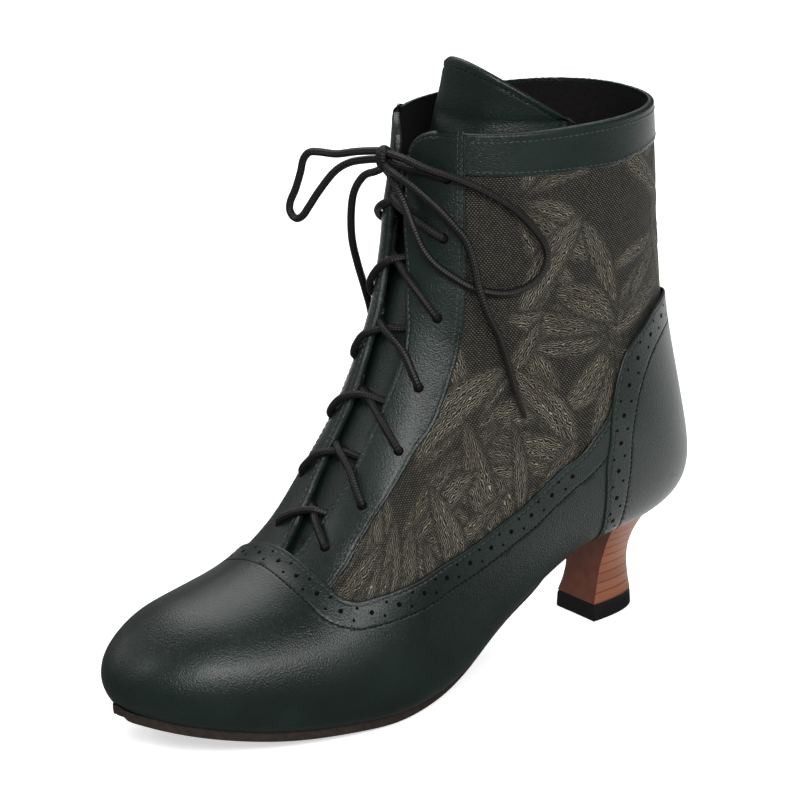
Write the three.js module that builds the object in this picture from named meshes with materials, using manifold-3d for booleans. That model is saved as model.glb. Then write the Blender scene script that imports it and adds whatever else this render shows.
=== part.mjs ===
// Victorian lace-up ankle boot with a flared heel, for a left foot, standing empty on its heel and forefoot.
// Units are millimetres. X points to the outer (lateral) side, -Y to the toe and +Z up, and the origin is on the
// floor under the centre of the heel's tip. "Forward" is a distance from the back of the boot towards the toe.

import * as THREE from "three";
import { mergeVertices } from "three/addons/utils/BufferGeometryUtils.js";
import Module from "manifold-3d";

const wasm = await Module();
wasm.setup();

// Driving dimensions of the last
const bootLength = 242;
const ballWidth = 88.8;
const shaftWidth = 70.8; // across the collar
const instepHeight = 81.5; // depth of the foot at the instep
const shaftHeight = 162; // front of the collar above the heel seat
const heelLift = 37; // heel seat above the tread under the ball
const toeSpring = 16.4; // middle of the toe above the tread under the ball

// Thicknesses and running clearance
const soleThickness = 3.5;
const treadFlat = 0.45; // how much the curved forefoot is flattened where it stands
const overlayThickness = 1.2;
const upperWall = 1.8;
const insoleThickness = 2.4;
const tongueThickness = 2.2;
const clearance = 0.3;

// Heel
const heelTipLength = 24.3;
const heelTipWidth = 21.6;
const heelTipThickness = 6.5;
const heelSetback = 29.8; // from the back of the boot to the middle of the heel's tip

// Throat, tongue and lacing
const bandHeight = 16.5;
const facingCorner = 6; // radius of the facings' top corners
const eyeletDiameter = 3.8;
const laceDiameter = 2.8;
const tongueRise = 22; // above the collar
const tongueLean = 15; // how far its top falls back from the throat

// One row for each section of the last, from the toe's tip to the collar. A section runs from its back end, on the
// underside of the foot or the back of the leg, to its front end, on the toe, the instep or the shin.
// back, front: forward places of the two ends, shares of bootLength
// spring, lift: height of the section's base, shares of toeSpring and heelLift, above the tread
// rear: the back end's height above that base, share of shaftHeight
// box, leg: the front end's height above that base, shares of instepHeight and shaftHeight
// centre: sideways place of the section's middle, share of ballWidth
// lateral, medial: half widths, shares of the girth width, which passes from ballWidth to shaftWidth with leg
// widest: where the section is widest, share of the way from back to front
// low, high: how square its corners are, behind and before that place (2 is an ellipse)
const sectionColumns = [
  "back", "spring", "lift", "rear", "front", "box", "leg", "centre", "lateral", "medial", "widest", "low", "high",
];
const sectionTable = {
  toeTip: [0.998, 1, 0, 0, 0.998, 0, 0, -0.056, 0, 0, 0.45, 4, 2.1],
  toeEnd: [0.97, 0.74, 0, 0, 1, 0.16, 0, -0.054, 0.1565, 0.154, 0.42, 3.8, 2.1],
  toeCap: [0.927, 0.55, 0, 0, 0.97, 0.318, 0, -0.047, 0.284, 0.28, 0.38, 4.8, 2.1],
  toeBox: [0.867, 0.36, 0, 0, 0.906, 0.466, 0, -0.036, 0.3795, 0.377, 0.34, 5.6, 2.1],
  vamp: [0.793, 0.18, 0, 0, 0.831, 0.553, 0, -0.0225, 0.437, 0.436, 0.3, 6, 2.1],
  ball: [0.708, 0.09, 0, 0, 0.7525, 0.634, 0, -0.011, 0.484, 0.483, 0.28, 6, 2],
  throat: [0.617, 0, 0, 0, 0.681, 0.793, 0, -0.003, 0.5, 0.5, 0.28, 5.4, 2],
  instep: [0.5054, 0, 0.105, 0, 0.6256, 1, 0, 0.003, 0.4696, 0.4414, 0.31, 4.6, 2],
  waist: [0.39, 0, 0.508, 0, 0.586, 1.004, 0, 0.009, 0.4313, 0.4009, 0.35, 3.8, 2],
  breast: [0.2343, 0, 0.876, 0, 0.5426, 0.984, 0.05, 0.007, 0.4005, 0.39, 0.39, 3.3, 2.1],
  seat: [0.0839, 0, 1, 0, 0.514, 0.888, 0.17, 0.002, 0.434, 0.429, 0.42, 3, 2.1],
  heel: [0, 0, 1, 0.0728, 0.497, 0.768, 0.3, 0, 0.4676, 0.4676, 0.45, 2.4, 2.2],
  counter: [0.007, 0, 1, 0.269, 0.4897, 0.59, 0.45, 0, 0.4597, 0.4597, 0.46, 2.2, 2.2],
  ankle: [0.031, 0, 1, 0.4827, 0.483, 0.433, 0.6, 0, 0.459, 0.459, 0.46, 2.2, 2.2],
  shaft: [0.0364, 0, 1, 0.731, 0.4694, 0.173, 0.8, 0, 0.481, 0.481, 0.47, 2.2, 2.2],
  collar: [0.041, 0, 1, 0.971, 0.4574, 0, 1, 0, 0.5, 0.5, 0.48, 2.2, 2.2],
};
const rowNumber = Object.fromEntries(Object.keys(sectionTable).map((name, index) => [name, index]));

// A place on the last is a station, counted in rows of the table from the toe's tip, and a turn around the section:
// 0 at its back end, 0.25 on the lateral side, 0.5 at its front end and 0.75 on the medial side.

// The feather line, where the upper meets the sole: station, turn
const featherTable = [
  [0, 0.11],
  [2, 0.11],
  [5, 0.115],
  [6, 0.105],
  [7, 0.085],
  [8, 0.07],
  [9, 0.062],
  [10, 0.07],
  [10.6, 0.09],
];
// The throat's two edges and the outer seam of the lateral facing: station, lateral, medial, seam
const throatTable = [
  [5.35, 0.487, 0.489, 0.399],
  [6, 0.474, 0.508, 0.402],
  [7.1, 0.459, 0.517, 0.396],
  [9.1, 0.45, 0.518, 0.38],
  [10.5, 0.477, 0.523, 0.393],
  [12.1, 0.49, 0.527, 0.394],
  [13.3, 0.498, 0.53, 0.398],
  [15, 0.505, 0.534, 0.405],
];
// The lateral eyelets, from the vamp up: station, turn
const eyeletTable = [
  [5.9, 0.442],
  [6.75, 0.423],
  [7.93, 0.407],
  [8.9, 0.412],
  [10.28, 0.422],
  [12.62, 0.425],
  [14.15, 0.43],
];
// The vamp's top line, from the front of the throat back along the wing: station, turn
const vampSeamTable = [
  [5.48, 0.48],
  [5.45, 0.435],
  [5.52, 0.385],
  [5.72, 0.363],
  [6.1, 0.346],
  [6.8, 0.318],
  [7.95, 0.278],
  [8.85, 0.251],
  [9.58, 0.25],
  [10.62, 0.25],
];
// The counter's front edge, from its top at the back of the leg down to the heel seat: station, turn
const counterEdgeTable = [
  [13.06, 0.02],
  [13.04, 0.09],
  [12.88, 0.15],
  [12.62, 0.182],
  [12.1, 0.222],
  [11.48, 0.245],
  [10.9, 0.25],
  [10.35, 0.245],
  [9.8, 0.228],
  [9.4, 0.178],
  [9.2, 0.1],
  [9.15, 0],
];
// The heel below the seat. height: share of the seat's height above the floor; breast, back: distances before and
// behind the middle of the tip, shares of heelTipLength; half: half width, share of heelTipWidth
const heelTable = [
  [0, 0.5, 0.5, 0.5],
  [0.16, 0.483, 0.493, 0.491],
  [0.27, 0.41, 0.465, 0.449],
  [0.4, 0.352, 0.445, 0.428],
  [0.52, 0.319, 0.44, 0.452],
  [0.64, 0.307, 0.455, 0.528],
  [0.765, 0.319, 0.515, 0.639],
  [0.89, 0.344, 0.62, 0.79],
  [1.02, 0.37, 0.8, 0.98],
  [1.3, 0.4, 0.9, 1.25],
];

// The tongue from its foot under the vamp to its top. station: where it lies; rise, lean: shares of tongueRise and
// tongueLean; half: turns to each side
const tongueTable = [
  [4.9, 0, 0, 0.045],
  [5.6, 0, 0, 0.065],
  [6.5, 0, 0, 0.082],
  [7.8, 0, 0, 0.1],
  [9.1, 0, 0.03, 0.115],
  [10.5, 0, 0.1, 0.13],
  [12.1, 0, 0.28, 0.15],
  [13.3, 0, 0.5, 0.17],
  [14.3, 0, 0.72, 0.19],
  [15, 0, 0.88, 0.2],
  [15, 0.5, 0.96, 0.2],
  [15, 1, 1, 0.2],
];

// Routes of the lace's free parts, chosen by hand: x, y, z of the cord's middle line
const knotCentre = [-5, -88.6, 190.5];
const knotRadii = [3.2, 3.4, 5];
const leftLoopRoute = [
  [-6, -88.6, 192.6],
  [-9.8, -88.6, 192.4],
  [-18, -91.4, 191],
  [-26, -94.2, 189],
  [-32, -97.1, 189],
  [-36, -98.8, 188.4],
  [-38.6, -99.7, 185.4],
  [-40.2, -100, 180.5],
  [-42.4, -100.6, 174],
  [-44.6, -101.6, 167.4],
  [-43.4, -101.2, 163.8],
  [-40, -99.4, 167.6],
  [-35, -96.4, 174],
  [-29, -93.4, 181.6],
  [-23, -91.2, 185.8],
  [-16.5, -88.8, 187.8],
  [-9.8, -88, 189.2],
  [-6, -88.4, 189],
];
const rightLoopRoute = [
  [-3.5, -88.7, 192.8],
  [-0.2, -88.8, 193],
  [6, -87.8, 192.4],
  [13.7, -84.5, 190],
  [22.7, -77.5, 186.6],
  [28.6, -70, 181.7],
  [32.8, -61.3, 174.5],
  [35.2, -54.8, 166.3],
  [36.4, -50.8, 158.4],
  [36.2, -52, 151.4],
  [34.9, -57, 147],
  [32.6, -64.8, 145.2],
  [29.6, -71.9, 146.4],
  [26.2, -77.6, 149],
  [22.7, -82, 152.6],
  [18.9, -86.4, 157.2],
  [15.8, -89.6, 163.1],
  [13, -91.4, 171],
  [8.4, -91.4, 178.4],
  [1, -90.6, 185.2],
  [-3.5, -89.7, 187.2],
];
const leftEndRoute = [
  [-5.6, -90, 187.2],
  [-8.3, -90.6, 185.7],
  [-13, -92.4, 183.4],
  [-17.6, -93.4, 177],
  [-21, -92.6, 168],
  [-24, -90.4, 157.2],
  [-27, -86.2, 146.6],
  [-29.4, -81.8, 136.4],
  [-31.4, -77.8, 125.6],
  [-33.4, -75.4, 114],
  [-35.2, -73.8, 102],
];
const rightEndRoute = [
  [-2.6, -90.2, 189.6],
  [0.4, -91.6, 188.8],
  [5.6, -92.2, 187.8],
  [12, -90.4, 184.8],
  [18.6, -86.2, 178.6],
  [22.8, -81.4, 171.4],
  [25.4, -77.4, 164.6],
  [28, -76.2, 156],
  [30.6, -76.4, 148],
  [32.6, -74.4, 139],
  [33.4, -70.4, 130],
  [34.6, -67.6, 119.4],
  [35.8, -65.4, 108.6],
  [37, -62.6, 99.4],
];

// Sizes worked out from the driving dimensions
const upperFace = overlayThickness + clearance; // depth of the upper's outer face under the overlays' face
const upperInside = upperFace + upperWall;
const liningFace = upperInside + clearance; // outer face of the tongue and insole
const laceRadius = laceDiameter / 2;
const seatHeight = soleThickness + heelLift;
const lastStation = rowNumber.collar;
const reach = bootLength; // long enough for every cutting prism

// Last

function sizedSection(name) {
  const row = Object.fromEntries(sectionColumns.map((column, index) => [column, sectionTable[name][index]]));
  const base = soleThickness + toeSpring * row.spring + heelLift * row.lift;
  const girth = ballWidth * (1 - row.leg) + shaftWidth * row.leg;
  return {
    backForward: row.back * bootLength,
    backHeight: base + shaftHeight * row.rear,
    frontForward: row.front * bootLength,
    frontHeight: base + instepHeight * row.box + shaftHeight * row.leg,
    centre: row.centre * ballWidth,
    lateral: row.lateral * girth,
    medial: row.medial * girth,
    widest: row.widest,
    low: row.low,
    high: row.high,
  };
}

const sections = Object.keys(sectionTable).map(sizedSection);
const beyond = sections[1];
// The row that rounds off the toe's tip is the second row turned over, and the one past the collar runs straight on.
const ghostToe = {
  ...beyond,
  backForward: beyond.frontForward,
  backHeight: beyond.frontHeight,
  frontForward: beyond.backForward,
  frontHeight: beyond.backHeight,
  lateral: -beyond.lateral,
  medial: -beyond.medial,
};
const ghostCollar = Object.fromEntries(
  Object.keys(beyond).map((key) => [key, 2 * sections.at(-1)[key] - sections.at(-2)[key]]),
);
const splineRows = [ghostToe, ...sections, ghostCollar];

function catmullRom(a, b, c, d, t) {
  const slope = c - a;
  const bend = 2 * a - 5 * b + 4 * c - d;
  const twist = 3 * b - a - 3 * c + d;
  return b + 0.5 * t * (slope + t * (bend + t * twist));
}

function sectionAt(station) {
  const index = Math.min(Math.floor(station), sections.length - 2);
  const [a, b, c, d] = splineRows.slice(index, index + 4);
  return Object.fromEntries(
    Object.keys(b).map((key) => [key, catmullRom(a[key], b[key], c[key], d[key], station - index)]),
  );
}

// A point of the boot's outer face.
function formPoint(station, turn) {
  const section = sectionAt(station);
  const cosine = Math.cos(2 * Math.PI * turn);
  const sine = Math.sin(2 * Math.PI * turn);
  const power = 2 / (cosine > 0 ? section.low : section.high);
  const along = Math.abs(cosine) ** power;
  const across = Math.abs(sine) ** power;
  const share = cosine > 0 ? section.widest * (1 - along) : section.widest + (1 - section.widest) * along;
  const half = sine >= 0 ? section.lateral : -section.medial;
  const forward = section.backForward + (section.frontForward - section.backForward) * share;
  const height = section.backHeight + (section.frontHeight - section.backHeight) * share;
  return new THREE.Vector3(section.centre + half * across, heelSetback - forward, height);
}

function formNormal(station, turn) {
  const stationStep = 0.03;
  const turnStep = 0.004;
  const before = formPoint(Math.max(station - stationStep, 0), turn);
  const after = formPoint(Math.min(station + stationStep, lastStation), turn);
  const alongBoot = after.sub(before);
  const aroundBoot = formPoint(station, turn + turnStep).sub(formPoint(station, turn - turnStep));
  return alongBoot.cross(aroundBoot).normalize();
}

// A point at a height above the outer face, or at a depth below it where that is negative.
function surfacePoint(station, turn, height) {
  return formPoint(station, turn).addScaledVector(formNormal(station, turn), height);
}

function toeTipPoint(height) {
  const around = Array.from({ length: 8 }, (_, index) => formNormal(0.06, (index + 0.5) / 8));
  const normal = around.reduce((sum, one) => sum.add(one), new THREE.Vector3()).normalize();
  return formPoint(0, 0).addScaledVector(normal, height);
}

function tableAt(table, place) {
  const after = Math.max(1, table.findIndex((row) => row[0] >= place));
  const [a, b] = [table[after - 1], table[after]];
  const share = (place - a[0]) / (b[0] - a[0]);
  return a.map((value, index) => value + (b[index] - value) * share);
}

function range(from, to, count) {
  return Array.from({ length: count + 1 }, (_, index) => from + ((to - from) * index) / count);
}

function forwardOf(point) {
  return heelSetback - point.y;
}

// Solids

function solidFrom(points, triangles) {
  const vertProperties = new Float32Array(points.flatMap((point) => point.toArray()));
  return new wasm.Manifold(new wasm.Mesh({ numProp: 3, vertProperties, triVerts: new Uint32Array(triangles.flat()) }));
}

function solidOf(geometry) {
  const bare = geometry.clone();
  bare.deleteAttribute("normal");
  bare.deleteAttribute("uv");
  const merged = mergeVertices(bare, 1e-4);
  const vertProperties = new Float32Array(merged.attributes.position.array);
  return new wasm.Manifold(new wasm.Mesh({ numProp: 3, vertProperties, triVerts: new Uint32Array(merged.index.array) }));
}

// A solid through rings of equally many points, each counter-clockwise as seen from the first end. It closes on a tip
// before the first ring where there is one, and else flat.
function loft(rings, tip) {
  const count = rings[0].length;
  const lastRing = (rings.length - 1) * count;
  const points = [...rings.flat(), ...(tip ? [tip] : [])];
  const triangles = [];
  for (let side = 0; side < count; side++) {
    const next = (side + 1) % count;
    if (tip) triangles.push([points.length - 1, side, next]);
    for (let ring = 0; ring < rings.length - 1; ring++) {
      const near = ring * count;
      const far = near + count;
      triangles.push([near + side, far + side, near + next]);
      triangles.push([near + next, far + side, far + next]);
    }
  }
  for (let side = 0; side < count / 2 - 1; side++) {
    const next = side + 1;
    const across = count - 1 - side;
    const nextAcross = across - 1;
    const strip = [[side, next, across], [next, nextAcross, across]];
    triangles.push(...strip.map((corners) => corners.map((index) => lastRing + index).reverse()));
    if (!tip) triangles.push(...strip);
  }
  return solidFrom(points, triangles.filter(([i, j, k]) => i !== j && j !== k && k !== i));
}

const formStations = [0.3, 0.65, 1, 1.5, 2, 3, 4, 5, 6, 7, 8, ...range(9, 12, 6), 13, 14, lastStation];
const formSides = 24;

// The whole last, grown by a height above its outer face, its flat top raised above the collar.
function formSolid(height, topRise) {
  const rings = formStations.map((station) =>
    Array.from({ length: formSides }, (_, side) => surfacePoint(station, side / formSides, height)),
  );
  if (topRise > 0) rings.push(rings.at(-1).map((point) => point.clone().setZ(point.z + topRise)));
  return loft(rings, toeTipPoint(height));
}

function prism(outline, depth, basis, origin) {
  const shape = new THREE.Shape(outline.map(([u, v]) => new THREE.Vector2(u, v)));
  const geometry = new THREE.ExtrudeGeometry(shape, { depth, bevelEnabled: false });
  geometry.applyMatrix4(new THREE.Matrix4().makeBasis(...basis).setPosition(...origin));
  return solidOf(geometry);
}

const axisX = new THREE.Vector3(1, 0, 0);
const axisY = new THREE.Vector3(0, 1, 0);
const axisZ = new THREE.Vector3(0, 0, 1);
const toToe = axisY.clone().negate();
const toMedial = axisX.clone().negate();
const down = axisZ.clone().negate();

// An outline of [forward, height] points, cut through the boot from side to side.
function sidePrism(outline) {
  return prism(outline, 2 * reach, [toToe, axisZ, toMedial], [reach, heelSetback, 0]);
}

// An outline of [x, height] points, cut through the boot's front from a forward place on.
function frontPrism(outline, from) {
  return prism(outline, reach, [axisX, axisZ, toToe], [0, heelSetback - from, 0]);
}

// An outline of [x, forward] points, cut down through the boot.
function planPrism(outline) {
  return prism(outline, 2 * reach, [axisX, toToe, down], [0, heelSetback, reach]);
}

function sideView(point) {
  return [forwardOf(point), point.z];
}

function frontView(point) {
  return [point.x, point.z];
}

function planView(point) {
  return [point.x, forwardOf(point)];
}

// Outlines of the cuts

const heelPlace = 10.6; // station of the feather line's back end
function footprint(turnShare, from, to) {
  const stations = range(from, to, 16);
  const edge = (station, side) => {
    const turn = tableAt(featherTable, station)[1] * turnShare;
    return planView(formPoint(station, side * turn));
  };
  return [
    ...stations.map((station) => edge(station, 1)),
    ...stations.reverse().map((station) => edge(station, -1)),
  ];
}

// Everything below the last's widest line, as far back as the counter.
function undersideOutline() {
  const line = range(0, heelPlace, 12).map((station) => sideView(formPoint(station, 0.25)));
  const [tipForward, tipHeight] = line[0];
  const [heelForward, heelHeight] = line.at(-1);
  return [[tipForward + reach, tipHeight], ...line, [heelForward - reach, heelHeight], [-reach, -reach], [2 * reach, -reach]];
}

const vampSeam = vampSeamTable.map(([station, turn]) => sideView(formPoint(station, turn)));
const counterEdge = counterEdgeTable.map(([station, turn]) => sideView(formPoint(station, turn)));

// A line in the side view moved sideways by a distance, to the left of its direction.
function besideLine(line, distance) {
  return line.map(([forward, height], index) => {
    const [nextForward, nextHeight] = line[Math.min(index + 1, line.length - 1)];
    const [lastForward, lastHeight] = line[Math.max(index - 1, 0)];
    const length = Math.hypot(nextForward - lastForward, nextHeight - lastHeight);
    const across = (nextForward - lastForward) / length;
    const up = (nextHeight - lastHeight) / length;
    return [forward - up * distance, height + across * distance];
  });
}

// The vamp's region, or the region above its seam, in the side view.
function belowVampSeam() {
  const wingEnd = vampSeam.at(-1);
  const wing = counterEdge.filter(([, height]) => height < wingEnd[1]);
  return [
    ...[...wing].reverse(),
    ...[...vampSeam].reverse(),
    [vampSeam[0][0], 2 * reach],
    [2 * reach, 2 * reach],
    [2 * reach, -reach],
    [wing.at(-1)[0], -reach],
  ];
}

function aboveVampSeam() {
  const raised = besideLine(vampSeam, -clearance);
  return [[raised[0][0], 2 * reach], ...raised, [raised.at(-1)[0], 2 * reach]];
}

function counterRegion() {
  const edge = counterEdge.map(([forward, height]) => [forward - clearance, height]);
  return [[-reach, edge[0][1]], ...edge, [edge.at(-1)[0], -reach], [-reach, -reach]];
}

// One side of the throat in the front view, at a column of its table, moved sideways by a distance.
function throatEdge(column, shift) {
  return throatTable.map((row) => {
    const [x, height] = frontView(formPoint(row[0], row[column]));
    return [x + shift, height];
  });
}

const throatColumn = { lateral: 1, medial: 2, seam: 3 };
const medialSeamTable = throatTable.map(([station, lateral, medial, seam]) => [station, medial + lateral - seam]);
const collarFront = sections.at(-1).frontHeight;
const collarBack = sections.at(-1).backHeight;
const topMargin = 4 * clearance; // how far a cut runs past the collar
const frontFrom = 0.26 * bootLength; // cuts from the front start here, inside the shaft

function medialSeam(shift) {
  return medialSeamTable.map(([station, turn]) => {
    const [x, height] = frontView(formPoint(station, turn));
    return [x + shift, height];
  });
}

// A facing's front edge with its rounded top corner, from the vamp up; side is 1 for lateral and -1 for medial.
function facingEdge(column, side) {
  const edge = throatEdge(column, 0);
  const [topX] = edge.pop();
  const corner = range(0, Math.PI / 2, 4).map((angle) => [
    topX + side * facingCorner * (1 - Math.cos(angle)),
    collarFront - facingCorner * (1 - Math.sin(angle)),
  ]);
  return [[edge[0][0], 0], ...edge, ...corner];
}

function eyestayOutline(column, side, seam) {
  const front = facingEdge(column, side);
  const [topSeamX] = seam.at(-1);
  const beyondTop = collarFront + reach;
  const top = front.at(-1);
  // the flat collar lies a little lower towards the seam, so the outline runs past it there
  return [...front, [top[0] + side, beyondTop], [topSeamX, beyondTop], ...[...seam].reverse(), [seam[0][0], 0]];
}

// Pieces

const underside = sidePrism(undersideOutline());
const openingShare = 0.45; // the lasted margin turns in this far under the foot, as a share of the feather's turn
const opening = planPrism(footprint(openingShare, 1.2, 10.3)).intersect(underside);
const overlaySkin = formSolid(0, 0).subtract(formSolid(-overlayThickness, topMargin));
const upperSkin = formSolid(-upperFace, 0).subtract(formSolid(-upperInside, topMargin));
const overVamp = sidePrism(aboveVampSeam());

function throatEdges(station) {
  const [, lateral, medial] = tableAt(throatTable, station);
  return { lateral, medial, middle: (lateral + medial) / 2 };
}

// Both eyelets of a pair, the medial one as far behind its edge as the lateral one.
const eyelets = eyeletTable.map(([station, turn]) => {
  const { lateral, medial } = throatEdges(station);
  return { station, lateral: turn, medial: medial + lateral - turn };
});

function eyeletHoles(side) {
  const length = 3 * upperInside;
  return eyelets.map((eyelet) => {
    const normal = formNormal(eyelet.station, eyelet[side]);
    const hole = new THREE.CylinderGeometry(eyeletDiameter / 2, eyeletDiameter / 2, length, 6);
    hole.applyQuaternion(new THREE.Quaternion().setFromUnitVectors(axisY, normal));
    hole.translate(...surfacePoint(eyelet.station, eyelet[side], -upperInside / 2).toArray());
    return solidOf(hole);
  });
}

const holes = { lateral: eyeletHoles("lateral"), medial: eyeletHoles("medial") };

function cutAll(solid, cutters) {
  return cutters.reduce((rest, cutter) => rest.subtract(cutter), solid);
}

function makeUpper() {
  const throat = [
    ...facingEdge(throatColumn.lateral, 1).slice(1),
    [facingCorner + topMargin, collarFront + reach],
    [-2 * facingCorner - topMargin, collarFront + reach],
    ...facingEdge(throatColumn.medial, -1).slice(1).reverse(),
  ];
  const slit = frontPrism(throat, frontFrom);
  return cutAll(upperSkin.subtract(opening).subtract(slit), [...holes.lateral, ...holes.medial]);
}

function makeVamp() {
  return overlaySkin.intersect(sidePrism(belowVampSeam())).subtract(opening);
}

function makeCounter() {
  return overlaySkin.intersect(sidePrism(counterRegion())).subtract(opening);
}

function makeEyestay(side) {
  const outline =
    side === "lateral"
      ? eyestayOutline(throatColumn.lateral, 1, throatEdge(throatColumn.seam, 0))
      : eyestayOutline(throatColumn.medial, -1, medialSeam(0));
  return cutAll(overlaySkin.intersect(frontPrism(outline, frontFrom)).intersect(overVamp), holes[side]);
}

function makeCollarBand() {
  const aboveBand = sidePrism([
    [-reach, collarBack - bandHeight],
    [0, collarBack - bandHeight],
    [sections.at(-1).frontForward, collarFront - bandHeight],
    [2 * reach, collarFront - bandHeight],
    [2 * reach, 2 * reach],
    [-reach, 2 * reach],
  ]);
  const facings = [
    ...throatEdge(throatColumn.seam, clearance),
    [throatEdge(throatColumn.seam, clearance).at(-1)[0], collarFront + reach],
    [medialSeam(-clearance).at(-1)[0], collarFront + reach],
    ...medialSeam(-clearance).reverse(),
  ];
  return overlaySkin.intersect(aboveBand).subtract(frontPrism(facings, frontFrom));
}

function makeInsole() {
  const raise = liningFace + insoleThickness;
  const line = range(1, rowNumber.seat, 14).map((station) => sideView(formPoint(station, 0)));
  const top = line.map(([forward, height]) => [forward, height + raise]);
  const [toeForward, toeHeight] = top[0];
  const below = [[toeForward + reach, toeHeight], ...top, [-reach, top.at(-1)[1]], [-reach, -reach], [2 * reach, -reach]];
  return formSolid(-liningFace, 0).intersect(sidePrism(below));
}

const breastPlace = heelSetback + heelTable.at(-1)[1] * heelTipLength + clearance;

function makeOutsole() {
  const beforeHeel = [[breastPlace, 0], [2 * reach, 0], [2 * reach, reach], [breastPlace, reach]];
  return formSolid(soleThickness + treadFlat, 0)
    .intersect(planPrism(footprint(1, 0.2, heelPlace)))
    .intersect(underside)
    .intersect(sidePrism(beforeHeel))
    .subtract(formSolid(clearance, 0));
}

// One level of the heel: a flat breast and a rounded back, clockwise from above.
function heelRing(height) {
  const [, breast, back, half] = tableAt(heelTable, height / seatHeight);
  const roundness = 0.85;
  const front = breast * heelTipLength;
  const depth = (breast + back) * heelTipLength;
  return range(Math.PI, 0, 16).map((angle) => {
    const x = half * heelTipWidth * Math.sign(Math.cos(angle)) * Math.abs(Math.cos(angle)) ** roundness;
    return new THREE.Vector3(x, depth * Math.abs(Math.sin(angle)) ** roundness - front, height);
  });
}

function heelSolid(heights) {
  return loft(heights.map(heelRing));
}

function makeHeel() {
  const bottom = heelTipThickness + clearance;
  const above = heelTable.map((row) => row[0] * seatHeight).filter((height) => height > bottom + clearance);
  return heelSolid([bottom, ...above]).subtract(formSolid(clearance, 0));
}

function makeTongue() {
  const columns = 8;
  const narrowing = 0.06; // of its width, where it leans furthest
  const topDrop = 0.85; // share of the rise lost at the sides
  const face = liningFace + clearance;
  const pointAt = ([station, rise, lean, half], across, depth) => {
    const point = surfacePoint(station, 0.5 - across * half, -face - depth);
    point.x *= 1 - narrowing * lean;
    point.y += tongueLean * lean;
    point.z += tongueRise * rise * (1 - topDrop * Math.abs(across) ** 1.8);
    return point;
  };
  const foot = tongueTable[0][0];
  const inside = formStations.filter((station) => station > foot).map((station) => tableAt(tongueTable, station));
  const rings = [tongueTable[0], ...inside, ...tongueTable.slice(-2)].map((row) => [
    ...range(1, -1, columns).map((across) => pointAt(row, across, 0)),
    ...range(-1, 1, columns).map((across) => pointAt(row, across, tongueThickness)),
  ]);
  return loft(rings);
}

// Laces

const cordSides = 6;

function cordAlong(points, steps) {
  const circle = range(0, 2 * Math.PI, cordSides).slice(1);
  const section = circle.map((angle) => new THREE.Vector2(Math.cos(angle), Math.sin(angle)).multiplyScalar(laceRadius));
  const extrudePath = new THREE.CatmullRomCurve3(points, false, "centripetal");
  return solidOf(new THREE.ExtrudeGeometry(new THREE.Shape(section), { steps, extrudePath, bevelEnabled: false }));
}

// Half of a crossing: out of an eyelet, over its facing's edge and a little past the middle of the throat.
function crossingStrand(index, side) {
  const from = eyelets[index];
  const to = eyelets[index + 1];
  const other = side === "lateral" ? "medial" : "lateral";
  const stationAt = (share) => from.station + (to.station - from.station) * share;
  const rest = laceRadius + clearance;
  const sunk = 0.3; // height of the lace's middle line where it dips between the facings
  const edge = throatEdges(stationAt(0.34))[side];
  const middle = throatEdges(stationAt(0.52)).middle;
  const past = THREE.MathUtils.lerp(middle, throatEdges(stationAt(0.6))[other], 0.4);
  return cordAlong(
    [
      surfacePoint(stationAt(0.02), from[side], rest),
      surfacePoint(stationAt(0.2), THREE.MathUtils.lerp(from[side], edge, 0.55), rest + clearance),
      surfacePoint(stationAt(0.36), edge, rest + clearance),
      surfacePoint(stationAt(0.52), middle, sunk),
      surfacePoint(stationAt(0.6), past, sunk - clearance),
    ],
    6,
  );
}

function makeCrossing(index) {
  return crossingStrand(index, "lateral").add(crossingStrand(index, "medial"));
}

function knotBall(grown) {
  const ball = new THREE.SphereGeometry(1, 10, 8);
  ball.scale(...knotRadii.map((radius) => radius + grown)).translate(...knotCentre);
  return solidOf(ball);
}

// From a top eyelet over its facing's edge into the knot.
function knotStrand(side) {
  const { station, [side]: turn } = eyelets.at(-1);
  const edge = throatEdges(station)[side];
  const rest = laceRadius + clearance;
  const along = (share, height) => surfacePoint(station, THREE.MathUtils.lerp(turn, edge, share), height);
  const underKnot = new THREE.Vector3(...knotCentre).add(new THREE.Vector3(0, 1.2, -3.4));
  return cordAlong([along(0, rest), along(0.5, rest + clearance), along(0.9, rest + clearance), underKnot], 5);
}

function makeKnot() {
  return knotBall(0).add(knotStrand("lateral")).add(knotStrand("medial"));
}

function makeFreeCord(route) {
  const points = route.map((place) => new THREE.Vector3(...place));
  const length = new THREE.CatmullRomCurve3(points).getLength();
  return cordAlong(points, Math.round(length / (2.5 * laceDiameter))).subtract(knotBall(clearance));
}

// Materials and assembly

function finish(name, color, roughness) {
  return new THREE.MeshStandardMaterial({ name, color, roughness, metalness: 0 });
}

const greenLeather = finish("dark green leather", 0x1c2624, 0.42);
const jacquard = finish("jacquard fabric", 0x4a463c, 0.85);
const lining = finish("black lining", 0x17181a, 0.9);
const stackedWood = finish("stacked heel wood", 0xb8753f, 0.5);
const rubber = finish("black rubber", 0x141414, 0.7);
const soleRubber = finish("dark brown outsole", 0x2a1f1a, 0.6);
const waxedCord = finish("black waxed cord", 0x121212, 0.5);

const boot = new THREE.Group();
boot.name = "victorian_boot";

const finestDetail = 0.1; // flatter details than this are left out of the meshes

function addPiece(name, solid, material) {
  const mesh = solid.simplify(finestDetail).getMesh();
  const geometry = new THREE.BufferGeometry();
  geometry.setAttribute("position", new THREE.BufferAttribute(new Float32Array(mesh.vertProperties), 3));
  geometry.setIndex(new THREE.BufferAttribute(new Uint32Array(mesh.triVerts), 1));
  const piece = new THREE.Mesh(geometry, material);
  piece.name = name;
  boot.add(piece);
}

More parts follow.
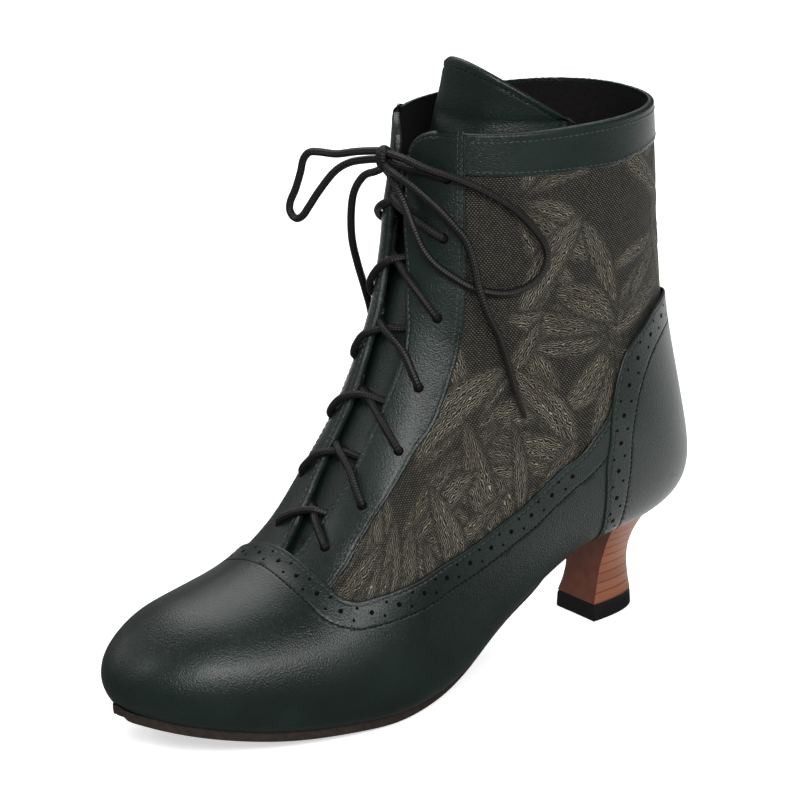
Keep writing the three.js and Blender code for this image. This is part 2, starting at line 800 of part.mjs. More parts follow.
addPiece("upper", makeUpper(), jacquard);
addPiece("vamp", makeVamp(), greenLeather);
addPiece("counter", makeCounter(), greenLeather);
addPiece("eyestay_lateral", makeEyestay("lateral"), greenLeather);
addPiece("eyestay_medial", makeEyestay("medial"), greenLeather);
addPiece("collar_band", makeCollarBand(), greenLeather);
addPiece("tongue", makeTongue(), greenLeather);
addPiece("insole", makeInsole(), lining);
addPiece("outsole", makeOutsole(), soleRubber);
addPiece("heel", makeHeel(), stackedWood);
addPiece("heel_tip", heelSolid([0, heelTipThickness]), rubber);
for (let index = 0; index < eyelets.length - 1; index++) {
  addPiece(`lace_crossing_${index + 1}`, makeCrossing(index), waxedCord);
}
addPiece("lace_knot", makeKnot(), waxedCord);
addPiece("lace_loop_left", makeFreeCord(leftLoopRoute), waxedCord);
addPiece("lace_loop_right", makeFreeCord(rightLoopRoute), waxedCord);
addPiece("lace_end_left", makeFreeCord(leftEndRoute), waxedCord);
addPiece("lace_end_right", makeFreeCord(rightEndRoute), waxedCord);

export default boot;
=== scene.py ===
# Victorian lace-up ankle boot: the looks of the left boot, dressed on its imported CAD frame.
import math

import bmesh
import bpy
import numpy as np
from mathutils import Matrix, Vector
from mathutils.bvhtree import BVHTree
from mathutils.kdtree import KDTree


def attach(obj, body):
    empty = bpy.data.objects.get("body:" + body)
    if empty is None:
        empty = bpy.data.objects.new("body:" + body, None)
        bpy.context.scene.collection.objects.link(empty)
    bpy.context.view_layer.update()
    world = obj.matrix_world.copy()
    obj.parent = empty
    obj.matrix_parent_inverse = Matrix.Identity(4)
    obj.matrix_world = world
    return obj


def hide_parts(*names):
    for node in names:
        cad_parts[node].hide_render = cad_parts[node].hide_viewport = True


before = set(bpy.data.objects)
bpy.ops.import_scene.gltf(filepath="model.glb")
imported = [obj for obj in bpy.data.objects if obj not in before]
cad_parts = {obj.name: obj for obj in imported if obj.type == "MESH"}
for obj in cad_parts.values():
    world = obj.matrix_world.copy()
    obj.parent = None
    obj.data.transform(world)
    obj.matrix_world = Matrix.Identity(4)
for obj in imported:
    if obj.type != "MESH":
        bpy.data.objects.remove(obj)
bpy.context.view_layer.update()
mm = 0.001

# Camera at the photo's angle
view = {"azimuth": 53.216, "elevation": 19.571, "distance": 1600.529, "lens": 204.36, "roll": -1.984,
        "target": (3.561, -92.357, 104.596)}


def placeCamera():
    azimuth = math.radians(view["azimuth"])
    elevation = math.radians(view["elevation"])
    roll = math.radians(view["roll"])
    back = Vector((math.sin(azimuth) * math.cos(elevation), -math.cos(azimuth) * math.cos(elevation),
                   math.sin(elevation)))
    right = Vector((math.cos(azimuth), math.sin(azimuth), 0))
    up = back.cross(right)
    turnedRight = right * math.cos(roll) + up * math.sin(roll)
    turnedUp = up * math.cos(roll) - right * math.sin(roll)
    camera = bpy.data.objects.new("camera", bpy.data.cameras.new("camera"))
    bpy.context.collection.objects.link(camera)
    camera.data.lens = view["lens"]
    camera.data.sensor_width = 36
    camera.data.clip_end = 20
    place = (Vector(view["target"]) + back * view["distance"]) * mm
    camera.matrix_world = Matrix((
        (turnedRight.x, turnedUp.x, back.x, place.x),
        (turnedRight.y, turnedUp.y, back.y, place.y),
        (turnedRight.z, turnedUp.z, back.z, place.z),
        (0, 0, 0, 1),
    ))
    bpy.context.scene.camera = camera


placeCamera()

# The last's surface: the same fan of sections as the solids, millimetres
size = {"length": 242, "ball": 88.8, "shaftWidth": 70.8, "instep": 81.5, "shaft": 162, "heelLift": 37,
        "toeSpring": 16.4, "sole": 3.5, "setback": 29.8}
sectionColumns = ("back", "spring", "lift", "rear", "front", "box", "leg", "centre", "lateral", "medial",
                  "widest",
                  "low", "high")
sectionTable = [
    [0.998, 1, 0, 0, 0.998, 0, 0, -0.056, 0, 0, 0.45, 4, 2.1],
    [0.97, 0.74, 0, 0, 1, 0.16, 0, -0.054, 0.1565, 0.154, 0.42, 3.8, 2.1],
    [0.927, 0.55, 0, 0, 0.97, 0.318, 0, -0.047, 0.284, 0.28, 0.38, 4.8, 2.1],
    [0.867, 0.36, 0, 0, 0.906, 0.466, 0, -0.036, 0.3795, 0.377, 0.34, 5.6, 2.1],
    [0.793, 0.18, 0, 0, 0.831, 0.553, 0, -0.0225, 0.437, 0.436, 0.3, 6, 2.1],
    [0.708, 0.09, 0, 0, 0.7525, 0.634, 0, -0.011, 0.484, 0.483, 0.28, 6, 2],
    [0.617, 0, 0, 0, 0.681, 0.793, 0, -0.003, 0.5, 0.5, 0.28, 5.4, 2],
    [0.5054, 0, 0.105, 0, 0.6256, 1, 0, 0.003, 0.4696, 0.4414, 0.31, 4.6, 2],
    [0.39, 0, 0.508, 0, 0.586, 1.004, 0, 0.009, 0.4313, 0.4009, 0.35, 3.8, 2],
    [0.2343, 0, 0.876, 0, 0.5426, 0.984, 0.05, 0.007, 0.4005, 0.39, 0.39, 3.3, 2.1],
    [0.0839, 0, 1, 0, 0.514, 0.888, 0.17, 0.002, 0.434, 0.429, 0.42, 3, 2.1],
    [0, 0, 1, 0.0728, 0.497, 0.768, 0.3, 0, 0.4676, 0.4676, 0.45, 2.4, 2.2],
    [0.007, 0, 1, 0.269, 0.4897, 0.59, 0.45, 0, 0.4597, 0.4597, 0.46, 2.2, 2.2],
    [0.031, 0, 1, 0.4827, 0.483, 0.433, 0.6, 0, 0.459, 0.459, 0.46, 2.2, 2.2],
    [0.0364, 0, 1, 0.731, 0.4694, 0.173, 0.8, 0, 0.481, 0.481, 0.47, 2.2, 2.2],
    [0.041, 0, 1, 0.971, 0.4574, 0, 1, 0, 0.5, 0.5, 0.48, 2.2, 2.2],
]


def sizedSections():
    column = dict(zip(sectionColumns, np.array(sectionTable, float).T))
    base = size["sole"] + size["toeSpring"] * column["spring"] + size["heelLift"] * column["lift"]
    girth = size["ball"] * (1 - column["leg"]) + size["shaftWidth"] * column["leg"]
    return np.stack([
        column["back"] * size["length"],
        base + size["shaft"] * column["rear"],
        column["front"] * size["length"],
        base + size["instep"] * column["box"] + size["shaft"] * column["leg"],
        column["centre"] * size["ball"],
        column["lateral"] * girth,
        column["medial"] * girth,
        column["widest"], column["low"], column["high"],
    ], axis=1)


def splineSamples(rows, perRow):
    toe = rows[1].copy()
    toe[[0, 1, 2, 3]] = rows[1][[2, 3, 0, 1]]
    toe[[5, 6]] *= -1
    padded = np.vstack([toe, rows, 2 * rows[-1] - rows[-2]])
    stations = np.linspace(0, len(rows) - 1, (len(rows) - 1) * perRow + 1)
    index = np.minimum(stations.astype(int), len(rows) - 2)
    t = (stations - index)[:, None]
    a, b, c, d = (padded[index + k] for k in range(4))
    return stations, b + 0.5 * t * (c - a + t * (2 * a - 5 * b + 4 * c - d + t * (3 * b - a - 3 * c + d)))


def smoothed(samples):
    # evens out small waves between the rows, and leaves both ends as they are
    weights = np.exp(-np.linspace(-2.5, 2.5, 51) ** 2 / 2)
    padded = np.vstack([2 * samples[0] - samples[25:0:-1], samples, 2 * samples[-1] - samples[-2:-27:-1]])
    soft = np.stack([np.convolve(column, weights / weights.sum(), "valid") for column in padded.T], axis=1)
    share = np.clip(sampleStations - 0.4, 0, 1)[:, None]
    return samples + (soft - samples) * share


sampleStations, sectionSamples = splineSamples(sizedSections(), 40)
sectionSamples = smoothed(sectionSamples)
lastStation = 15


def formPoint(station, turn):
    station, turn = np.broadcast_arrays(np.asarray(station, float), np.asarray(turn, float))
    row = [np.interp(station, sampleStations, column) for column in sectionSamples.T]
    backForward, backHeight, frontForward, frontHeight, centre, lateral, medial, widest, low, high = row
    cosine = np.cos(2 * np.pi * turn)
    sine = np.sin(2 * np.pi * turn)
    power = 2 / np.where(cosine > 0, low, high)
    along = np.abs(cosine) ** power
    across = np.abs(sine) ** power
    share = np.where(cosine > 0, widest * (1 - along), widest + (1 - widest) * along)
    x = centre + np.where(sine >= 0, lateral, -medial) * across
    forward = backForward + (frontForward - backForward) * share
    z = backHeight + (frontHeight - backHeight) * share
    return np.stack([x, size["setback"] - forward, z], axis=-1)


def unit(vectors):
    return vectors / np.maximum(np.linalg.norm(vectors, axis=-1, keepdims=True), 1e-12)


def formNormal(station, turn):
    station = np.asarray(station, float)
    middle = np.clip(station, 0.05, lastStation)
    along = formPoint(np.minimum(middle + 0.03, lastStation), turn) - formPoint(middle - 0.03, turn)
    around = formPoint(middle, turn + 0.004) - formPoint(middle, turn - 0.004)
    pole = np.array([0, -0.98, 0.2])
    share = np.clip(1 - np.asarray(station, float) / 0.2, 0, 1)[..., None]
    return unit(unit(np.cross(along, around)) * (1 - share) + pole * share)


# Soft hollows and ridges of the worn-in shape: station, turn, their reach along and around, depth in mm
reliefTable = [
    (5.0, 0.385, 0.30, 0.035, -0.35), (5.25, 0.44, 0.22, 0.05, -0.30), (8.3, 0.33, 0.35, 0.05, -0.8),
    (9.2, 0.31, 0.22, 0.06, 0.7), (9.9, 0.335, 0.20, 0.05, -0.8), (10.7, 0.29, 0.25, 0.07, 0.5),
    (11.5, 0.33, 0.3, 0.05, -0.5), (8.3, 0.67, 0.35, 0.05, -0.8), (9.2, 0.69, 0.22, 0.06, 0.7),
    (9.9, 0.665, 0.20, 0.05, -0.8), (10.7, 0.71, 0.25, 0.07, 0.5), (6.0, 0.40, 0.35, 0.025, -0.5),
    (6.1, 0.425, 0.2, 0.02, 0.4), (7.0, 0.39, 0.3, 0.02, 0.35),
]


def relief(station, turn):
    total = np.zeros(np.broadcast(station, turn).shape)
    for atStation, atTurn, reachAlong, reachAround, depth in reliefTable:
        away = (np.mod(turn - atTurn + 0.5, 1) - 0.5) / reachAround
        total += depth * np.exp(-((station - atStation) / reachAlong) ** 2 - away ** 2)
    return total


def surfacePoint(station, turn, height):
    height = np.asarray(height, float) + relief(np.asarray(station, float), np.asarray(turn, float))
    return formPoint(station, turn) + formNormal(station, turn) * height[..., None]


def splined(points, steps):
    # a rounded line through the points, in so many steps from each to the next
    points = np.array(points, float)
    padded = np.vstack([2 * points[0] - points[1], points, 2 * points[-1] - points[-2]])
    t = np.linspace(0, 1, steps, endpoint=False)[:, None]
    pieces = []
    for a, b, c, d in zip(padded, padded[1:], padded[2:], padded[3:]):
        pieces.append(b + 0.5 * t * (c - a + t * (2 * a - 5 * b + 4 * c - d + t * (3 * b - a - 3 * c + d))))
    return np.vstack(pieces + [points[-1:]])


def smoothLine(points, count):
    # a rounded line through given places, evenly sampled
    return evenly(splined(points, 12), count)


def evenly(line, count):
    places = formPoint(line[:, 0], line[:, 1]) if line.shape[1] == 2 else line
    lengths = np.concatenate([[0], np.cumsum(np.linalg.norm(np.diff(places, axis=0), axis=1))])
    wanted = np.linspace(0, lengths[-1], count)
    return np.stack([np.interp(wanted, lengths, column) for column in line.T], axis=1)


def placed(line):
    return surfacePoint(line[:, 0], line[:, 1], np.zeros(len(line))), formNormal(line[:, 0], line[:, 1])


def evenTurns(low, high, step, stations=(2.0, 4.5, 7.0, 9.0, 12.0)):
    # turns about one step in mm apart wherever the section is, the squarer ones too
    fine = np.linspace(low, high, 9000)
    grid = formPoint(np.array(stations)[:, None], fine[None])
    lengths = np.linalg.norm(np.diff(grid, axis=1), axis=2).max(axis=0)
    total = np.concatenate([[0], np.cumsum(lengths)])
    return np.interp(np.linspace(0, total[-1], int(total[-1] / step) + 2), total, fine)


def surfaceAt(height, stations, turns):
    # part of the last's surface at one height over it, for finding places on it
    across = len(turns)
    grid = np.meshgrid(stations, turns, indexing="ij")
    points = surfacePoint(grid[0].ravel(), grid[1].ravel(), np.full(grid[0].size, float(height)))
    corner = (np.arange(len(stations) - 1)[:, None] * across + np.arange(across - 1)).ravel()
    faces = np.stack([corner, corner + across, corner + across + 1, corner + 1], axis=1)
    return BVHTree.FromPolygons(points.tolist(), faces.tolist())


def wholeSurface():
    stations = np.concatenate([np.arange(0, 1, 0.04), np.arange(1, lastStation, 0.07), [lastStation]])
    return surfaceAt(0, stations, evenTurns(-0.5, 0.5, 1.6))


surfaceTree = wholeSurface()


def moved(line, distance):
    # the line's points and normals, moved over the surface to the left of its direction as seen from outside
    points, normals = placed(line)
    steps = max(1, int(abs(distance)))
    for _ in range(steps):
        tangents = unit(np.gradient(points, axis=0))
        points = points + unit(np.cross(normals, tangents)) * (distance / steps)
        nearest = [surfaceTree.find_nearest(point) for point in points.tolist()]
        points = np.array([one[0] for one in nearest])
        normals = np.array([one[1] for one in nearest])
    return points, normals


def mirrored(line):
    line = np.array(line, float)
    return np.stack([line[:, 0], 1 - line[:, 1]], axis=1)


# Seam lines on the last: station, turn
vampTopHalf = [(5.48, 0.5), (5.47, 0.477), (5.45, 0.435), (5.50, 0.398), (5.54, 0.380), (5.72, 0.363),
               (6.05, 0.349),
               (6.75, 0.319), (7.35, 0.300), (7.95, 0.278), (8.43, 0.262), (8.85, 0.252), (9.58, 0.250),
               (10.2, 0.250), (10.9, 0.250)]
counterHalf = [(13.08, 0), (13.08, 0.09), (12.88, 0.15), (12.62, 0.182), (12.10, 0.222), (11.48, 0.245),
               (10.90, 0.250), (10.35, 0.245), (9.80, 0.228), (9.40, 0.178), (9.18, 0.097), (9.15, 0.02)]
counterLowHalf = [(12.80, 0), (12.78, 0.08), (12.62, 0.135), (12.26, 0.177), (11.76, 0.207), (11.22, 0.226),
                  (10.60, 0.228), (10.02, 0.206), (9.68, 0.170), (9.50, 0.123), (9.44, 0.06)]
throatLateral = [(5.15, 0.484), (5.45, 0.474), (5.98, 0.474), (6.5, 0.466), (7.1, 0.459), (7.98, 0.455),
                 (9.08, 0.450), (9.7, 0.458), (10.5, 0.475), (12.1, 0.490), (13.3, 0.498), (14.2, 0.505),
                 (14.6, 0.501), (14.82, 0.489), (14.95, 0.468), (14.98, 0.452)]
throatMedial = [(5.15, 0.490), (5.5, 0.494), (5.98, 0.507), (6.5, 0.514), (7.3, 0.517), (8.3, 0.516),
                (9.1, 0.518),
                (10.5, 0.523), (12.1, 0.527), (13.3, 0.530), (14.2, 0.533), (14.6, 0.538), (14.82, 0.550),
                (14.95, 0.571), (14.98, 0.587)]
seamLateral = [(5.0, 0.392), (5.52, 0.397), (5.88, 0.402), (6.48, 0.403), (7.2, 0.395), (8.08, 0.387),
               (8.68, 0.377),
               (9.52, 0.383), (10.4, 0.392), (11.2, 0.397), (12.6, 0.393), (13.82, 0.4), (14.73, 0.405),
               (14.98, 0.405)]
seamMedial = [(5.0, 0.582), (5.52, 0.582), (5.88, 0.58), (6.48, 0.58), (7.2, 0.58), (8.08, 0.585),
              (8.68, 0.591),
              (9.52, 0.594), (10.4, 0.608), (11.2, 0.617), (12.6, 0.629), (13.82, 0.632), (14.73, 0.634),
              (14.98, 0.634)]
bandHalf = [(14.25, 0.405), (14.3, 0.357), (14.35, 0.312), (14.4, 0.265), (14.45, 0.215), (14.52, 0.175),
            (14.58, 0.12), (14.6, 0.06), (14.6, 0)]
eyeletTable = [(5.9, 0.442), (6.75, 0.423), (7.93, 0.407), (8.9, 0.412), (10.28, 0.422), (12.62, 0.425),
               (14.15, 0.43)]


# Sheets cut from the surface
def signedDistance(station, turn, outline):
    # distance in mm to a closed outline on the surface, positive inside
    corners = np.vstack([outline, outline[:1]])
    inside = np.zeros(len(station), bool)
    for (s0, t0), (s1, t1) in zip(corners, corners[1:]):
        crosses = (t0 > turn) != (t1 > turn)
        at = s0 + (turn - t0) / (t1 - t0 if t1 != t0 else 1e-9) * (s1 - s0)
        inside ^= crosses & (station < at)
    distance = lineDistance(station, turn, corners)
    return np.where(inside, distance, -distance)


def lineDistance(station, turn, line):
    places = []
    for a, b in zip(line, line[1:]):
        length = np.linalg.norm(formPoint(*b) - formPoint(*a))
        share = np.linspace(0, 1, max(4, int(length / 0.3)) + 1)[:-1, None]
        between = a + (b - a) * share
        places.append(surfacePoint(between[:, 0], between[:, 1], np.zeros(len(between))))
    return spaceDistance(station, turn, np.vstack(places))[0]


def spaceDistance(station, turn, samples):
    tree = KDTree(len(samples))
    for index, place in enumerate(samples):
        tree.insert(place, index)
    tree.balance()
    points = surfacePoint(station, turn, np.zeros(len(station)))
    found = [tree.find(point) for point in points]
    return np.array([one[2] for one in found]), np.array([one[1] for one in found]), points


def sideDistance(station, turn, path):
    # distance to a line in space, positive on its left
    points, normals = path
    count = max(8, int(np.linalg.norm(np.diff(points, axis=0), axis=1).sum() / 0.3))
    shares = np.linspace(0, len(points) - 1, count)
    dense = np.stack([np.interp(shares, np.arange(len(points)), column) for column in points.T], axis=1)
    up = np.stack([np.interp(shares, np.arange(len(points)), column) for column in normals.T], axis=1)
    sideways = unit(np.cross(up, np.gradient(dense, axis=0)))
    distance, nearest, places = spaceDistance(station, turn, dense)
    across = ((places - dense[nearest]) * sideways[nearest]).sum(1)
    return distance * np.where(across < 0, -1, 1)


class SheetGrid:
    # quads over the surface with a few numbers at each corner, cut along lines where one of them has a value
    def __init__(self, stations, turns):
        grid = np.meshgrid(stations, turns, indexing="ij")
        self.values = np.stack([axis.ravel() for axis in grid])
        across = len(turns)
        corner = (np.arange(len(stations) - 1)[:, None] * across + np.arange(across - 1)).ravel()
        self.quads = np.stack([corner, corner + across, corner + across + 1, corner + 1], axis=1)
        self.others = []

    def addValue(self, values):
        self.values = np.vstack([self.values, values])

    def keepQuads(self, mask):
        self.quads = self.quads[mask]

    def cut(self, column, level):
        value = self.values[column]
        value[np.abs(value - level) < 1e-4] = level + 1e-4
        high = value > level
        counts = high[self.quads].sum(1)
        mixed = (counts > 0) & (counts < 4)
        cutting = [list(face) for face in self.quads[mixed]]
        self.quads = self.quads[~mixed]
        kept = []
        for face in self.others:
            (cutting if len({bool(high[i]) for i in face}) > 1 else kept).append(face)
        made = {}
        extra = []
        count = self.values.shape[1]
        for face in cutting:
            sides = ([], [])
            for i, j in zip(face, face[1:] + face[:1]):
                sides[int(high[i])].append(i)
                if high[i] != high[j]:
                    key = (min(i, j), max(i, j))
                    if key not in made:
                        share = (level - value[i]) / (value[j] - value[i])
                        made[key] = count + len(extra)
                        fresh = self.values[:, i] + (self.values[:, j] - self.values[:, i]) * share
                        fresh[column] = level
                        extra.append(fresh)
                    sides[0].append(made[key])
                    sides[1].append(made[key])
            kept += [side for side in sides if len(side) > 2]
        self.others = kept
        if extra:
            self.values = np.hstack([self.values, np.array(extra).T])

    def faces(self):
        return [list(face) for face in self.quads] + self.others


def meshObject(name, points, faces, material, uv=None, attributes=None):
    mesh = bpy.data.meshes.new(name)
    mesh.from_pydata((np.asarray(points) * mm).tolist(), [], faces)
    if uv is not None:
        layer = mesh.uv_layers.new(name="UVMap")
        loops = np.empty(len(mesh.loops), int)
        mesh.loops.foreach_get("vertex_index", loops)
        layer.data.foreach_set("uv", (np.asarray(uv)[loops] * mm).ravel())
    for key, values in (attributes or {}).items():
        mesh.attributes.new(key, "FLOAT", "POINT").data.foreach_set("value", np.asarray(values, float))
    mesh.shade_smooth()
    thing = bpy.data.objects.new(name, mesh)
    bpy.context.collection.objects.link(thing)
    if material:
        mesh.materials.append(material)
    return thing


def edgeRounding(distance, radius):
    return 1 - np.sqrt(np.clip(1 - (1 - np.clip(distance / radius, 0, 1)) ** 2, 0, 1))


def makeSheet(name, spec, outline, edges, stations, turns, material, grooves=(), extras=None):
    # edges: (line, depth it rounds down by, radius); grooves: (line, width, depth); lines in station and turn
    sheet = SheetGrid(stations, turns)
    sheet.addValue(signedDistance(*sheet.values[:2], np.array(outline, float)))
    sheet.keepQuads((sheet.values[2] > -4)[sheet.quads].any(1))
    sign = np.where(sheet.values[2] < 0, -1, 1)
    for edgeLine, _, _ in edges:
        sheet.addValue(lineDistance(*sheet.values[:2], np.array(edgeLine, float)) * sign)
    for path, _, _ in grooves:
        sheet.addValue(sideDistance(*sheet.values[:2], path))
    sheet.cut(2, 0)
    for column, (_, _, radius) in enumerate(edges, 3):
        for share in (0.12, 0.4, 1):
            sheet.cut(column, radius * share)
    for column, (_, width, _) in enumerate(grooves, 3 + len(edges)):
        for level in (-width, -width * 0.3, width * 0.3, width):
            sheet.cut(column, level)
    values = sheet.values
    faces = [list(face) for face in sheet.faces() if values[2][face].mean() > 0]
    station, turn, distance = values[:3]
    fall = np.zeros(len(station))
    for column, (_, depth, radius) in enumerate(edges, 3):
        fall = np.maximum(fall, depth * edgeRounding(values[column], radius))
    for column, (_, width, depth) in enumerate(grooves, 3 + len(edges)):
        fall = fall + depth * np.clip(1.3 - 1.3 * np.abs(values[column]) / width, 0, 1)
    extraValues = extras(station, turn, distance) if extras else {}
    height = spec["height"] - fall + extraValues.pop("raise", 0)
    outer = surfacePoint(station, turn, height)
    inner = surfacePoint(station, turn, np.full_like(station, spec["height"] - spec["thickness"]))
    count = len(station)
    backOf = np.where(distance > 1e-3, np.arange(count) + count, np.arange(count))
    allFaces = faces + [[int(backOf[i]) for i in reversed(face)] for face in faces]
    used = np.zeros(2 * count, bool)
    for face in allFaces:
        used[face] = True
    renumber = np.cumsum(used) - 1
    allFaces = [[int(renumber[i]) for i in face] for face in allFaces]
    uv = None
    if "u" in extraValues:
        flat = np.stack([extraValues.pop("u"), extraValues.pop("v")], axis=1)
        uv = np.vstack([flat, flat])[used]
    attributes = {key: np.concatenate([value, value])[used] for key, value in extraValues.items()}
    piece = meshObject(name, np.vstack([outer, inner])[used], allFaces, material, uv, attributes)
    joined = bmesh.new()
    joined.from_mesh(piece.data)
    bmesh.ops.remove_doubles(joined, verts=joined.verts, dist=4e-6)
    joined.to_mesh(piece.data)
    joined.free()
    return piece


def ringFaces(rows, count):
    # the faces between closed rings of points, from the first ring to the last
    faces = []
    for i in range(rows - 1):
        for j in range(count):
            k = (j + 1) % count
            faces.append([i * count + j, i * count + k, (i + 1) * count + k, (i + 1) * count + j])
    return faces


def tube(name, points, radius, material, sides=12, flatness=1.0, closedEnds=True):
    # a round cord through the points, with its UV along its length in metres
    points = np.array(points, float)
    tangents = unit(np.gradient(points, axis=0))
    across = unit(np.cross(tangents[0], [0.3, 0.2, 0.9]))
    lengths = np.concatenate([[0], np.cumsum(np.linalg.norm(np.diff(points, axis=0), axis=1))])
    radii = np.broadcast_to(np.asarray(radius, float), len(points))
    rings = []
    for point, tangent, ringRadius in zip(points, tangents, radii):
        across = unit(across - tangent * (across @ tangent))
        up = np.cross(tangent, across)
        angles = np.linspace(0, 2 * np.pi, sides, endpoint=False)
        aside = np.cos(angles)[:, None] * across
        above = flatness * np.sin(angles)[:, None] * up
        rings.append(point + ringRadius * (aside + above))
    vertices = np.vstack(rings)
    faces = ringFaces(len(points), sides)
    if closedEnds:
        faces += [list(range(sides))[::-1], list(range((len(points) - 1) * sides, len(points) * sides))]
    mesh = bpy.data.meshes.new(name)
    mesh.from_pydata((vertices * mm).tolist(), [], faces)
    layer = mesh.uv_layers.new(name="UVMap")
    for polygon in mesh.polygons:
        for loop, vertex in zip(polygon.loop_indices, polygon.vertices):
            ring, side = divmod(vertex, sides)
            wrap = sides if side == 0 and polygon.index % sides == sides - 1 else side
            layer.data[loop].uv = (wrap / sides, lengths[ring] * mm)
    mesh.shade_smooth()
    mesh.materials.append(material)
    thing = bpy.data.objects.new(name, mesh)
    bpy.context.collection.objects.link(thing)
    return thing


def smoothPath(points, spacing):
    # a rounded path in space through the points, evenly sampled
    line = splined(points, 14)
    length = np.linalg.norm(np.diff(line, axis=0), axis=1).sum()
    return evenly(line, max(3, int(round(length / spacing)) + 1))


# Materials
def colour(hexCode):
    channels = [int(hexCode[i:i + 2], 16) / 255 for i in (1, 3, 5)]
    return tuple(c / 12.92 if c < 0.04045 else ((c + 0.055) / 1.055) ** 2.4 for c in channels) + (1,)


def newMaterial(name):
    material = bpy.data.materials.new(name)
    material.use_nodes = True
    tree = material.node_tree
    return material, tree, tree.nodes["Principled BSDF"]


def addNode(tree, kind, inputs=None, **settings):
    node = tree.nodes.new(kind)
    for key, value in settings.items():
        setattr(node, key, value)
    for key, value in (inputs or {}).items():
        if isinstance(value, bpy.types.NodeSocket):
            tree.links.new(value, node.inputs[key])
        else:
            node.inputs[key].default_value = value
    return node


def maths(tree, operation, *values):
    return addNode(tree, "ShaderNodeMath", dict(enumerate(values)), operation=operation).outputs[0]


def mixed(tree, share, first, second):
    node = addNode(tree, "ShaderNodeMix", data_type="RGBA")
    for index, value in ((0, share), (6, first), (7, second)):
        if isinstance(value, bpy.types.NodeSocket):
            tree.links.new(value, node.inputs[index])
        else:
            node.inputs[index].default_value = value
    return node.outputs[2]


def ranged(tree, value, low, high, toLow, toHigh):
    return addNode(tree, "ShaderNodeMapRange", {"Value": value, "From Min": low, "From Max": high,
                                                "To Min": toLow, "To Max": toHigh}).outputs[0]


def leatherMaterial(name, look):
    # smooth finished calf: fine pebbled grain, cloudy colour and polish
    material, tree, shader = newMaterial(name)
    place = addNode(tree, "ShaderNodeTexCoord").outputs["Object"]
    cloud = addNode(tree, "ShaderNodeTexNoise",
                    {"Vector": place, "Scale": look["cloudScale"], "Detail": 3.0}).outputs[0]
    grain = addNode(tree, "ShaderNodeTexVoronoi", {"Vector": place, "Scale": look["grainScale"]},
                    feature="SMOOTH_F1").outputs["Distance"]
    creases = addNode(tree, "ShaderNodeTexNoise",
                      {"Vector": place, "Scale": look["grainScale"] * 0.9, "Detail": 2.0}
                      ).outputs[0]
    shade = mixed(tree, ranged(tree, cloud, 0.35, 0.65, 0, 1), colour(look["dark"]), colour(look["light"]))
    tree.links.new(shade, shader.inputs["Base Color"])
    polish = ranged(tree, cloud, 0.3, 0.7, look["roughness"] - 0.03, look["roughness"] + 0.04)
    tree.links.new(polish, shader.inputs["Roughness"])
    height = maths(tree, "ADD", maths(tree, "MULTIPLY", grain, -0.6), creases)
    bump = addNode(tree, "ShaderNodeBump", {"Height": height, "Strength": look["grain"], "Distance": 0.00022})
    tree.links.new(bump.outputs[0], shader.inputs["Normal"])
    shader.inputs["Coat Weight"].default_value = look["coat"]
    shader.inputs["Coat Roughness"].default_value = look["coatRoughness"]
    shader.inputs["Specular IOR Level"].default_value = look["specular"]
    return material


def plainMaterial(name, dark, light, roughness, scale=900.0, bump=0.2, specular=0.5):
    material, tree, shader = newMaterial(name)
    place = addNode(tree, "ShaderNodeTexCoord").outputs["Object"]
    noise = addNode(tree, "ShaderNodeTexNoise", {"Vector": place, "Scale": scale, "Detail": 4.0}).outputs[0]
    shade = mixed(tree, ranged(tree, noise, 0.3, 0.7, 0, 1), colour(dark), colour(light))
    tree.links.new(shade, shader.inputs["Base Color"])
    relief = addNode(tree, "ShaderNodeBump", {"Height": noise, "Strength": bump, "Distance": 0.0002})
    tree.links.new(relief.outputs[0], shader.inputs["Normal"])
    shader.inputs["Roughness"].default_value = roughness
    shader.inputs["Specular IOR Level"].default_value = specular
    return material


leatherLook = {"dark": "#0b1512", "light": "#111e1a", "cloudScale": 28.0, "grainScale": 2000.0,
               "roughness": 0.35,
               "grain": 0.75, "coat": 0.05, "coatRoughness": 0.2, "specular": 0.36}
leather = leatherMaterial("green leather", leatherLook)


